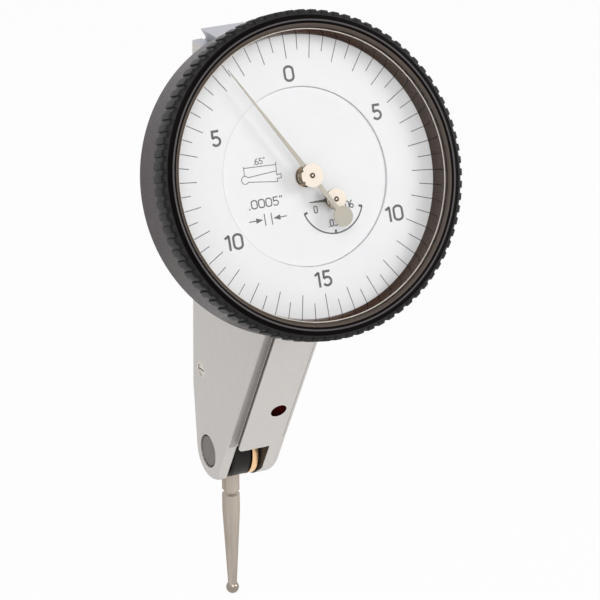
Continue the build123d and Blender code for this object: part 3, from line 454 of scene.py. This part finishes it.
def crystal_material(face_on=0.04, rise=5):
    """Clear crystal: it reflects a small share face on, and all of it at a grazing view, with the rise as
    the power of the slant between them."""
    material = bpy.data.materials.new("clear_crystal")
    tree, shader = nodes_of(material)
    slant = tree.nodes.new("ShaderNodeLayerWeight")
    slant.inputs["Blend"].default_value = 0.5
    power = tree.nodes.new("ShaderNodeMath")
    power.operation = "POWER"
    power.inputs[1].default_value = rise
    tree.links.new(slant.outputs["Facing"], power.inputs[0])
    share = spread(tree, power.outputs["Value"], face_on, 1.0, start=0.0, end=1.0)
    haze = add_grain(tree, 900.0, 2.0)
    tree.links.new(spread(tree, haze.outputs["Fac"], 0.01, 0.03), shader.inputs["Roughness"])
    tree.links.new(share, shader.inputs["Alpha"])
    shader.inputs["Base Color"].default_value = (0.30, 0.305, 0.31, 1)
    shader.inputs["Metallic"].default_value = 1.0
    return material


def dress_nodes(material, *names):
    """Gives whole CAD nodes a finish."""
    for name in names:
        mesh = frame["nodes"][name].data
        mesh.materials.clear()
        mesh.materials.append(material)


def face_places(name):
    """Centres and normals of a CAD node's faces."""
    polygons = frame["nodes"][name].data.polygons
    centres, normals = np.zeros(len(polygons) * 3), np.zeros(len(polygons) * 3)
    polygons.foreach_get("center", centres)
    polygons.foreach_get("normal", normals)
    return centres.reshape(-1, 3), normals.reshape(-1, 3)


def dress_faces(material, name, chosen):
    """Gives the chosen faces of a CAD node a finish of their own."""
    mesh = frame["nodes"][name].data
    mesh.materials.append(material)
    slots = np.zeros(len(mesh.polygons), np.int32)
    mesh.polygons.foreach_get("material_index", slots)
    slots[chosen] = len(mesh.materials) - 1
    mesh.polygons.foreach_set("material_index", slots)


def dress_sides(material, direction, *names):
    """Gives the faces of CAD nodes that don't look along a direction, either way, a finish of their own."""
    for name in names:
        normals = face_places(name)[1]
        dress_faces(material, name, np.abs(normals @ direction) < 0.9)


def set_specular_tint(material, colour):
    """Colours what a finish reflects at a grazing view."""
    material.node_tree.nodes["Principled BSDF"].inputs["Specular Tint"].default_value = (*colour, 1)


class INDICATOR_OT_body_finish(bpy.types.Operator):
    """Satin plated body with its screws, seal and the parts seen in the fork, with painted shade on the fork's
    side walls
    """

    bl_idname = "indicator.body_finish"
    bl_label = "Body Finish"

    def execute(self, context):
        satin = finish_material("satin_chrome", (0.63, 0.60, 0.575), 0.5, 0.40, grain=14000, variation=0.015)
        dress_nodes(satin, "body_frame")
        worn = finish_material("grey_brown_steel", (0.165, 0.15, 0.14), 0.9, 0.36, grain=5000)
        dress_nodes(worn, "pivot_screws")
        khaki = finish_material("yellowed_steel", (0.80, 0.77, 0.68), 0.5, 0.35, grain=5000)
        dress_nodes(khaki, "side_set_screw")
        seal = finish_material("red_lacquer", (0.035, 0.001, 0.0005), 0.0, 0.3, grain=16000,
                               variation=0.95, specular=0.0)
        dress_nodes(seal, "seal_plug")
        blued = finish_material("black_oxide", (0.014, 0.011, 0.009), 0.0, 0.45, grain=6000, variation=0.2,
                                specular=0.22)
        dress_nodes(blued, "stylus_holder", "sleeve_nut", "friction_washer")
        dress_sides(blued, DIAL_RIGHT, "pivot_screws")
        # Dark grey-brown on the fork's inner side walls: painted shade in the recess of the fork
        fork = finish_material("fork_walls_painted_shade", (0.05, 0.04, 0.032), 0.3, 0.5, grain=6000)
        centres, normals = face_places("body_frame")
        inside = (np.abs(centres[:, 0]) < FORK_SIDE) & (centres[:, 2] < PIVOT[2] + FORK_ABOVE_PIVOT)
        dress_faces(fork, "body_frame", inside & (np.abs(normals[:, 0]) > 0.9))
        rail = finish_material("ground_rail", (0.52, 0.525, 0.57), 0.5, 0.40, grain=14000, variation=0.015)
        dress_faces(rail, "body_frame", centres[:, 2] > -END_RAIL_REACH)
        plug = node_places("seal_plug")
        offset = centres - (plug.min(axis=0) + plug.max(axis=0)) / 2
        outward = offset @ STEM_OUT
        beside = np.linalg.norm(offset - outward[:, None] * STEM_OUT, axis=1)
        hole = (beside < 0.6 * np.ptp(plug[:, 0])) & (np.abs(outward) < SEAL_HOLE_REACH)
        dress_faces(seal, "body_frame", hole & (np.abs(normals @ STEM_OUT) < 0.5))
        return {"FINISHED"}


class INDICATOR_OT_screw_rim(bpy.types.Operator):
    """Bright broken edge round the small screw in the left face, a painted highlight: its section, as (radius,
    height), carried round the screw's axis: up = r cos a, back = r sin a, with the height to the left"""

    bl_idname = "indicator.screw_rim"
    bl_label = "Screw Rim"

    def execute(self, context):
        shape = context.scene.indicator_stem
        screw, body = node_places("side_set_screw"), node_places("body_frame")
        axis = (screw.min(axis=0) + screw.max(axis=0)) / 2
        radius = np.ptp(screw[:, 2]) / 2 + 0.01 * MM
        near = np.hypot(*(body[:, 1:] - axis[1:]).T) < 1.2 * radius
        left = body[near, 0].min()
        low, high, outer = -0.02 * MM, 0.01 * MM, radius + shape.screw_rim
        section = np.array([(radius, low), (radius, high), ((radius + outer) / 2, 2 * high), (outer, high),
                            (outer, low)])
        turns = np.linspace(0, 2 * np.pi, 64, endpoint=False)
        far, rise = section[:, :1], section[:, 1:]
        across = np.broadcast_to(left - rise, (len(section), len(turns)))
        points = np.stack([across, axis[1] + far * np.sin(turns), axis[2] + far * np.cos(turns)], axis=-1)
        faces = lattice(len(section), len(turns), close_rows=True, close_columns=True)
        # Cream ring: painted highlight on the screw's broken edge
        bright = finish_material("screw_rim_painted_highlight", (0.88, 0.86, 0.79), 0.3, 0.35, grain=5000)
        add_mesh("side_screw_rim", points, faces, "frame", bright)
        return {"FINISHED"}


class INDICATOR_OT_stem_relief(bpy.types.Operator):
    """Strips beside each foot of the front rail: a closed profile across the ledge, with a dark floor of painted
    shadow under the rail's foot, a bright edge of painted highlight and a grey rest, carried straight along the
    stem"""

    bl_idname = "indicator.stem_relief"
    bl_label = "Stem Relief"

    def execute(self, context):
        shape = context.scene.indicator_stem
        # Dark floor of the relief: painted shadow under the rail's undercut foot
        floor = finish_material("relief_painted_shadow", (0.24, 0.225, 0.21), 0.5, 0.45, grain=6000)
        # Bright edge beside the relief: a painted highlight
        bright = finish_material("relief_painted_highlight", (0.80, 0.78, 0.75), 0.5, 0.30, grain=6000)
        places = node_places("body_frame") - STEM_PLACE
        on_rail = (np.abs(places @ STEM_OUT) < 0.01 * MM) & (places @ DIAL_RIGHT < 0)
        along = places[on_rail] @ STEM_UP
        length = np.array([along.min() + shape.painted_highlight_width, along.max()])
        ledge = finish_material("ledge_grey", (0.40, 0.385, 0.37), 0.5, 0.42, grain=14000, variation=0.015)
        sunk, proud = 0.02 * MM, 0.012 * MM
        start, end, edge = shape.relief_start, shape.relief_end, shape.ledge_end
        across = np.array([start, start, end, end + shape.painted_highlight_width / 2, end + shape.painted_highlight_width, edge, edge])
        out = np.array([-sunk, proud, proud, 2 * proud, proud, 0, -sunk]) - shape.rail_depth
        for name, side in (("left", -1), ("right", 1)):
            profile = side * across[:, None] * DIAL_RIGHT + out[:, None] * STEM_OUT
            points = STEM_PLACE + profile[:, None] + length[:, None] * STEM_UP
            walls = lattice(len(across), 2, close_rows=True)
            ends = [list(range(0, 2 * len(across), 2)), list(range(1, 2 * len(across), 2))[::-1]]
            faces = walls.tolist() + ends
            if side > 0:
                faces = [face[::-1] for face in faces]
            piece = add_mesh("stem_relief_" + name, points, faces, "frame", floor,
                             smooth=False)
            piece.data.materials.append(bright)
            piece.data.materials.append(ledge)
            piece.data.polygons.foreach_set("material_index", [0, 0, 1, 1, 2, 2, 0, 0, 0])
        return {"FINISHED"}


class INDICATOR_OT_point_finish(bpy.types.Operator):
    """Polished contact point with its warm ball"""

    bl_idname = "indicator.point_finish"
    bl_label = "Contact Point Finish"

    def execute(self, context):
        silver = finish_material("warm_silver", (0.44, 0.385, 0.33), 0.6, 0.20, grain=27000,
                                 variation=0.16, roughness_spread=0.03, bump=0.0005,
                                 stretch=(1.0, 1.0, 0.02))
        set_specular_tint(silver, (0.45, 0.36, 0.30))
        dress_nodes(silver, "contact_point")
        carbide = finish_material("carbide_ball", (0.30, 0.26, 0.22), 0.8, 0.14, grain=6000, bump=0.001,
                                  roughness_spread=0.03)
        dress_nodes(carbide, "contact_ball")
        return {"FINISHED"}


class INDICATOR_OT_movement_finish(bpy.types.Operator):
    """Brass, steel, ruby and turned aluminium of the movement"""

    bl_idname = "indicator.movement_finish"
    bl_label = "Movement Finish"

    def execute(self, context):
        brass = finish_material("polished_brass", (0.92, 0.61, 0.34), 1.0, 0.25, grain=4000)
        dress_nodes(brass, "movement_bridge", "bridge_pillars", "crown_wheel", "counter_wheel",
                    "sector_lever", "hairspring_collet", "hairspring_stud", "dial_retainer")
        steel = finish_material("bright_steel", (0.56, 0.55, 0.54), 1.0, 0.25, grain=4000)
        dress_nodes(steel, "case_screws", "bridge_screws", "carriage_screws", "lever_shaft", "crown_arbor",
                    "centre_pinion", "counter_arbor", "bezel_spring", "adjusting_screw")
        spring = finish_material("blued_spring", (0.10, 0.12, 0.25), 1.0, 0.25, grain=4000)
        dress_nodes(spring, "hairspring")
        ruby = finish_material("ruby", (0.50, 0.02, 0.08), 0.0, 0.08, grain=2000, variation=0.2, coat=0.5)
        dress_nodes(ruby, "jewel_bearings")
        aluminium = finish_material("turned_aluminium", (0.55, 0.55, 0.56), 1.0, 0.35, grain=4000)
        dress_nodes(aluminium, "case_cup", "wheel_carriage")
        gasket = finish_material("brown_gasket", (0.075, 0.058, 0.048), 0.0, 0.6, grain=4000,
                                 variation=0.1, specular=0.1)
        dress_nodes(gasket, "crystal_gasket")
        bush = finish_material("khaki_collar", (0.50, 0.44, 0.34), 0.8, 0.30, grain=4000)
        dress_nodes(bush, "hand_collar")
        return {"FINISHED"}


class INDICATOR_OT_bezel(bpy.types.Operator):
    """Knurled bezel with rounded edges, in place of the plain one: its half section, as (radius, height),
    carried round the dial's axis, with the outermost radii lowered by the groove's depth in each groove"""

    bl_idname = "indicator.bezel"
    bl_label = "Bezel"

    def execute(self, context):
        shape = context.scene.indicator_bezel
        tip, floor, edge = shape.knurl_radius / MM, shape.knurl_floor / MM, shape.edge / MM
        # Half section from the wall round the dial, over the lip and the knurl, to the skirt and back
        corners = {"wall": [(tip - 2.8, 0.0)],
                   "rim": [(tip - 2.4, 2.35)],
                   "seat": [(tip - 2.24, 2.35), (tip - 2.0, 2.35), (tip - 2.0, 2.8)],
                   "edge": [(tip - 1.7, 3.0)],
                   "lip": [(tip - 1.4, 3.08)],
                   "band": [(tip - 1.2, 3.08), (tip - 0.85, 2.8)],
                   "knurl": [(tip - 0.65, 2.8), (tip - 0.3, 2.72), (tip, 2.4)],
                   "skirt": [(tip, 0.1), (tip - 0.7, 0.1), (tip - 0.7, -5.7), (tip - 0.95, -5.95),
                             (tip - 1.8, -5.95), (tip - 1.8, -0.9), (tip - 2.1, -0.9), (tip - 2.1, 0.0)]}
        outline = rounded_outline([corner for region in corners.values() for corner in region], edge)
        regions = np.repeat(np.arange(len(corners)), [len(region) for region in corners.values()])
        # One pitch of the knurl: the groove in its middle, with steep flanks and a slightly broken edge
        gap, flank, middle = shape.groove_share / 2, 0.012, 0.5
        across = np.array([0.0, middle - gap - flank, middle - gap, middle - gap + flank, middle,
                           middle + gap - flank, middle + gap, middle + gap + flank])
        depth = np.array([0.0, 0.0, 0.12, 1.0, 1.0, 1.0, 0.12, 0.0])
        pitch = 2 * np.pi / shape.teeth
        turns = shape.first_tooth + (np.arange(shape.teeth)[:, None] + across[None, :]).ravel() * pitch
        groove = np.tile(depth, shape.teeth)
        radius, height = outline[:, :1], outline[:, 1:]
        knurl_width = 0.5
        knurled = radius - groove * np.where(radius > tip - knurl_width, tip - floor, 0)
        rings = np.stack([knurled, height * np.ones_like(knurled)], axis=-1)
        points = turned_points(rings, turns[None, :])
        faces = lattice(len(outline), len(turns), close_rows=True, close_columns=True)
        materials = self.finishes(shape)
        piece = add_mesh("bezel_knurled", points, faces, "bezel", materials["wall"])
        for material in list(materials.values())[1:]:
            piece.data.materials.append(material)
        per_corner = len(outline) // len(regions)
        row_region = regions[np.arange(len(outline)) // per_corner]
        piece.data.polygons.foreach_set("material_index", np.repeat(row_region, len(turns)).astype(np.int32))
        piece.data.set_sharp_from_angle(angle=math.radians(20))
        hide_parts("bezel_ring")
        return {"FINISHED"}

    def finishes(self, shape):
        """The finish of each region of the section, in the order of its corners."""
        wall = finish_material("bezel_wall_gloss", (0.080, 0.057, 0.046), 1.0, 0.04, grain=2500,
                               variation=0.1, roughness_spread=0.01, bump=0.0)
        set_specular_tint(wall, (0.40, 0.33, 0.30))
        black = finish_material("bezel_band_black", (0.003, 0.002, 0.002), 0.0, 0.4, grain=3000,
                                variation=0.2, bump=0.002, specular=0.03)
        return {
            "wall": wall,
            # Cream top of the wall round the dial: a painted highlight
            "rim": finish_material("bezel_rim_painted_highlight", (0.75, 0.70, 0.62), 0.0, 0.4, grain=3000),
            "seat": finish_material("bezel_seat_brown", (0.09, 0.07, 0.058), 0.0, 0.4, grain=3000,
                                    specular=0.2),
            "edge": black,
            "lip": finish_material("bezel_lip_metal", (0.060, 0.055, 0.056), 0.8, 0.40, grain=3000,
                                   bump=0.002),
            "band": black,
            "knurl": finish_material("bezel_knurl_black", shape.knurl, 0.0, 0.42, grain=6000,
                                     variation=0.15, specular=0.12),
            "skirt": finish_material("bezel_skirt_lacquer", shape.skirt, 0.0, 0.30, grain=3000,
                                     variation=0.08, bump=0.001, specular=0.08),
        }


class INDICATOR_OT_crystal(bpy.types.Operator):
    """Clear crystal over the dial"""

    bl_idname = "indicator.crystal"
    bl_label = "Crystal"

    def execute(self, context):
        dress_nodes(crystal_material(), "crystal")
        return {"FINISHED"}


class INDICATOR_OT_dial_print(bpy.types.Operator):
    """White dial with its graduation lines, numerals, small scale and signs"""

    bl_idname = "indicator.dial_print"
    bl_label = "Dial Print"

    def execute(self, context):
        sizes = context.scene.indicator_print
        white = finish_material("dial_white", sizes.face, 0.0, 0.45, grain=6000, variation=0.01)
        dress_nodes(white, "dial_ring", "inner_dial")
        ink = finish_material("dial_ink", sizes.ink, 0.0, 0.5, grain=6000, variation=0.08)
        self.graduations(sizes, ink)
        signs = Print(height_on_dial("inner_dial")[1] + PRINT_LIFT)
        self.small_scale(signs)
        self.contact_sign(signs)
        self.division_sign(signs)
        signs.finish("dial_signs", "frame", "dial_white", ink)
        self.ring_step_shadow()
        return {"FINISHED"}

    def graduations(self, sizes, ink):
        """Sixty lines round the dial ring, every other one longer, with numerals at each sixth of a turn."""
        ring = Print(height_on_dial("dial_ring")[1] + PRINT_LIFT)
        divisions = 60
        for tick in range(divisions):
            turn = math.radians(90 - 360 / divisions * tick)
            along = np.array([math.cos(turn), math.sin(turn)])
            inner = sizes.tick_short if tick % 2 else sizes.tick_long
            ring.stroke([along * inner / MM, along * sizes.tick_outer / MM], sizes.tick_width / MM)
        tall, reach = sizes.numeral_height / MM, sizes.numeral_radius / MM
        weight = 0.155 * tall
        for text, turn in [("0", 90), ("5", 30), ("5", 150), ("10", -30), ("10", 210), ("15", -90)]:
            across, up = reach * math.cos(math.radians(turn)), reach * math.sin(math.radians(turn))
            ring.words(text, across, up - tall / 2, tall, weight, stretch=1.25)
        ring.finish("dial_graduations", "bezel", "dial_white", ink)

    def small_scale(self, signs):
        """Arc of the turns counter about the small hand's axis, with a short line at each mark."""
        bold, radius, marks = 0.18, 4.1, (197, 268, 340)
        signs.stroke(arc(SMALL_RIGHT, SMALL_UP, radius, radius, marks[0], marks[-1], 60), bold)
        centre = np.array([SMALL_RIGHT, SMALL_UP])
        for turn in marks:
            along = np.array([math.cos(math.radians(turn)), math.sin(math.radians(turn))])
            signs.stroke([centre + along * (radius - 0.45), centre + along * (radius + 0.05)], 1.6 * bold)
        for text, across, up, tall in (("0", 0.66, -4.62, 0.92), (".03", 2.65, -6.55, 0.92),
                                       (".06", 5.1, -4.72, 0.98)):
            signs.words(text, across, up, tall, 0.14)

    def contact_sign(self, signs):
        """Outline of the contact point with its length between two short lines."""
        fine = 0.09
        signs.stroke(arc(-7.92, 0.77, 0.48, 0.48, 25, 330, 30), fine)
        outline = line((-7.45, 1.02), (-3.68, 1.26), (-3.67, 0.79), (-3.14, 0.86), (-3.13, 0.37),
                       (-3.69, 0.33), (-3.72, -0.04), (-7.48, 0.46))
        signs.stroke(outline, fine)
        for start, end in (((-7.87, 2.38), (-7.93, 1.27)), ((-3.55, 2.35), (-3.66, 1.26)),
                           ((-7.9, 2.2), (-3.6, 2.03))):
            signs.stroke([start, end], fine)
        signs.words('.65"', -5.72, 2.36, 0.75, 0.11, stretch=1.32)

    def division_sign(self, signs):
        """Value of a division over two bars, with an arrow at each side."""
        middling, level, head_length, head_half_width = 0.12, -4.28, 0.95, 0.33
        signs.words('.0005"', -5.75, -2.86, 1.12, 0.15, stretch=1.44)
        for tail, tip, side in ((-8.32, -6.42, 1), (-3.25, -5.08, -1)):
            head = tip - head_length * side
            signs.stroke([(tail, level), (head, level)], middling)
            wing = [(head, level - head_half_width), (tip, level), (head, level + head_half_width)]
            signs.area(wing if side > 0 else wing[::-1])
        for bar in (-6.2, -5.29):
            signs.stroke([(bar, -3.57), (bar, -5.02)], middling)

    def ring_step_shadow(self):
        """Grey line on the inner edge of the dial ring, painted shadow of the step down to the inner dial."""
        # Grey of the line: painted shadow of the ring's step
        cut = finish_material("dial_step_painted_shadow", (0.62, 0.62, 0.63), 0.0, 0.5, grain=6000, variation=0.08)
        rim, width = Print(height_on_dial("dial_ring")[1] + PRINT_LIFT), 0.05
        places = face_places("dial_ring")[0] - DIAL_CENTRE
        radius = np.hypot(places @ DIAL_RIGHT, places @ DIAL_UP).min() / MM + width
        rim.stroke(arc(0, 0, radius, radius, 0, 360, 181), width)
        rim.finish("dial_ring_painted_shadow", "bezel", "dial_white", cut)


class INDICATOR_OT_hands(bpy.types.Operator):
    """Hands with their turned hubs, whose sides get painted shade, each with a pin in a dark sink of painted shade
    """

    bl_idname = "indicator.hands"
    bl_label = "Hands"

    def execute(self, context):
        shape = context.scene.indicator_hands
        olive = finish_material("hand_lacquer", (0.41, 0.38, 0.32), 0.5, 0.35, grain=4000)
        dark = finish_material("small_hand_lacquer", (0.07, 0.07, 0.055), 0.6, 0.35, grain=4000)
        dress_nodes(olive, "main_hand")
        dress_nodes(dark, "small_hand")
        cream = finish_material("cream_hub", shape.colour, 0.3, 0.35, grain=3000, variation=0.02)
        # Brown sides of the hubs: painted shade on their side walls
        shade = finish_material("hub_side_painted_shade", (0.14, 0.10, 0.07), 0.8, 0.35, grain=3000)
        # Dark ring round each pin: painted shade of the hollow round the pin
        sink = finish_material("pin_sink_painted_shade", (0.06, 0.045, 0.03), 0.5, 0.4, grain=4000)
        dress_nodes(cream, "main_hub", "small_hub")
        dress_sides(shade, DIAL_OUT, "main_hub", "small_hub")
        places = {"main": ("pointer", "centre_pinion", (0.0, 0.0)),
                  "small": ("counter", "counter_arbor", (SMALL_RIGHT, SMALL_UP))}
        pin = shape.pin_radius / MM
        wide = 2.6 * pin
        for name, (body, arbor, centre) in places.items():
            top = max(height_on_dial(name + "_hub")[1], height_on_dial(arbor)[1])
            ring = [(0.0, top - 0.02), (wide, top - 0.02), (wide, top + 0.01), (0.0, top + 0.01)]
            # Flat dark disc under the pin, painted as the shade of its hollow
            capped_disc(name + "_hub_sink_painted_shade", ring, centre, body, sink)
            dome = [(0.0, top), (pin, top), (pin, top + 0.02), (0.7 * pin, top + 0.035), (0.0, top + 0.04)]
            capped_disc(name + "_hub_pin", dome, centre, body, cream)
        return {"FINISHED"}


class INDICATOR_OT_studio(bpy.types.Operator):
    """Pale floor, soft lights, white surroundings and the camera"""

    bl_idname = "indicator.studio"
    bl_label = "Studio"

    def execute(self, context):
        setup = context.scene.indicator_studio
        self.floor(context)
        self.surroundings(context, setup.sky)
        middle = Vector(DIAL_CENTRE) + Vector((0, 0, -0.02))
        # Each soft light with its place from the middle, its width in metres and its power in watts
        for name, offset, width, power in (("key_softbox", (0.46, -0.36, 0.22), 0.22, 1.35),
                                           ("fill_softbox", (-0.12, -0.46, 0.38), 0.50, 1.95),
                                           ("side_softbox", (-0.45, -0.02, 0.45), 0.30, 0.22)):
            self.lamp(name, middle, offset, width, power)
        self.camera(context, setup)
        context.scene.view_settings.view_transform = "Standard"
        return {"FINISHED"}

    def floor(self, context, spans=12):
        """Square floor below the object, reaching that many times its diagonal to each side."""
        low, high = cad_box
        reach = spans * (high - low).length
        sides = ((-1, -1), (1, -1), (1, 1), (-1, 1))
        corners = [(right * reach, back * reach, low.z) for right, back in sides]
        mesh = bpy.data.meshes.new("studio_floor")
        mesh.from_pydata(corners, [], [(0, 1, 2, 3)])
        mesh.materials.append(self.floor_material())
        floor = bpy.data.objects.new("studio_floor", mesh)
        context.scene.collection.objects.link(floor)

    def surroundings(self, context, sky):
        """White world, plain white to what the camera, metal and glass see and dimmer as a light."""
        world = bpy.data.worlds.new("studio_world")
        context.scene.world = world
        world.use_nodes = True
        tree = world.node_tree
        background = tree.nodes["Background"]
        level = tree.nodes.new("ShaderNodeMapRange")
        level.inputs["To Min"].default_value = sky
        level.inputs["To Max"].default_value = 1.0
        tree.links.new(seen_ray(tree), level.inputs["Value"])
        tree.links.new(level.outputs["Result"], background.inputs["Strength"])
        background.inputs["Color"].default_value = (1, 1, 1, 1)

    def camera(self, context, setup):
        """Camera at the photograph's angle, from its own right and up directions."""
        data = bpy.data.cameras.new("studio_camera")
        data.lens = setup.lens
        data.sensor_width = 36.0
        data.clip_start = 0.01
        data.clip_end = 20.0
        camera = bpy.data.objects.new("studio_camera", data)
        context.scene.collection.objects.link(camera)
        right = Vector((0.8915, -0.4531, -0.0097)).normalized()
        up = Vector((0.1688, 0.3122, 0.9349))
        back = right.cross(up).normalized()
        turn = Matrix((right, back.cross(right), back)).transposed().to_4x4()
        camera.matrix_world = Matrix.Translation(Vector(DIAL_CENTRE) + Vector(setup.camera_place)) @ turn
        context.scene.camera = camera

    def floor_material(self, own_light=0.95):
        """Pale matt floor, nearly all white by its own light where it is seen, with a faint shadow left."""
        material = bpy.data.materials.new("pale_floor")
        tree, shader = nodes_of(material)
        shader.inputs["Base Color"].default_value = (0.85, 0.85, 0.85, 1)
        shader.inputs["Roughness"].default_value = 0.9
        glow = tree.nodes.new("ShaderNodeEmission")
        choose = tree.nodes.new("ShaderNodeMixShader")
        level = tree.nodes.new("ShaderNodeMath")
        level.operation = "MULTIPLY"
        level.inputs[1].default_value = own_light
        tree.links.new(seen_ray(tree), level.inputs[0])
        tree.links.new(level.outputs["Value"], choose.inputs["Fac"])
        tree.links.new(shader.outputs["BSDF"], choose.inputs[1])
        tree.links.new(glow.outputs["Emission"], choose.inputs[2])
        tree.links.new(choose.outputs["Shader"], tree.nodes["Material Output"].inputs["Surface"])
        return material

    def lamp(self, name, target, offset, width, power):
        """A square soft light that looks at a target from an offset, in metres."""
        data = bpy.data.lights.new(name, "AREA")
        data.size = width
        data.energy = power
        lamp = bpy.data.objects.new(name, data)
        bpy.context.scene.collection.objects.link(lamp)
        lamp.location = target + Vector(offset)
        lamp.rotation_euler = (-Vector(offset)).to_track_quat("-Z", "Y").to_euler()


OPERATORS = [INDICATOR_OT_body_finish, INDICATOR_OT_screw_rim, INDICATOR_OT_stem_relief,
             INDICATOR_OT_point_finish, INDICATOR_OT_movement_finish, INDICATOR_OT_bezel,
             INDICATOR_OT_crystal, INDICATOR_OT_dial_print, INDICATOR_OT_hands, INDICATOR_OT_studio]

GROUPS = {"indicator_stem": StemShape, "indicator_bezel": BezelShape, "indicator_print": DialPrint,
          "indicator_hands": HandShape, "indicator_studio": StudioSetup}


class INDICATOR_PT_sidebar(bpy.types.Panel):
    """Lists the indicator's sizes and steps"""

    bl_label = "Dial Test Indicator"
    bl_space_type = "VIEW_3D"
    bl_region_type = "UI"
    bl_category = "Indicator"

    def draw(self, context):
        column = self.layout.column()
        for name, group in GROUPS.items():
            for size in group.__annotations__:
                column.prop(getattr(context.scene, name), size)
        for operator in OPERATORS:
            column.operator(operator.bl_idname)


def register():
    """Registers the groups of sizes, the steps and the panel."""
    for name, group in GROUPS.items():
        bpy.utils.register_class(group)
        setattr(bpy.types.Scene, name, bpy.props.PointerProperty(type=group))
    for operator in OPERATORS:
        bpy.utils.register_class(operator)
    bpy.utils.register_class(INDICATOR_PT_sidebar)


def unregister():
    """Takes away what register added, in the opposite order."""
    bpy.utils.unregister_class(INDICATOR_PT_sidebar)
    for operator in reversed(OPERATORS):
        bpy.utils.unregister_class(operator)
    for name, group in GROUPS.items():
        delattr(bpy.types.Scene, name)
        bpy.utils.unregister_class(group)


def main():
    """Registers everything and runs each step in order."""
    register()
    bpy.ops.indicator.body_finish()
    bpy.ops.indicator.screw_rim()
    bpy.ops.indicator.stem_relief()
    bpy.ops.indicator.point_finish()
    bpy.ops.indicator.movement_finish()
    bpy.ops.indicator.bezel()
    bpy.ops.indicator.crystal()
    bpy.ops.indicator.dial_print()
    bpy.ops.indicator.hands()
    bpy.ops.indicator.studio()


if __name__ == "__main__":
    main()
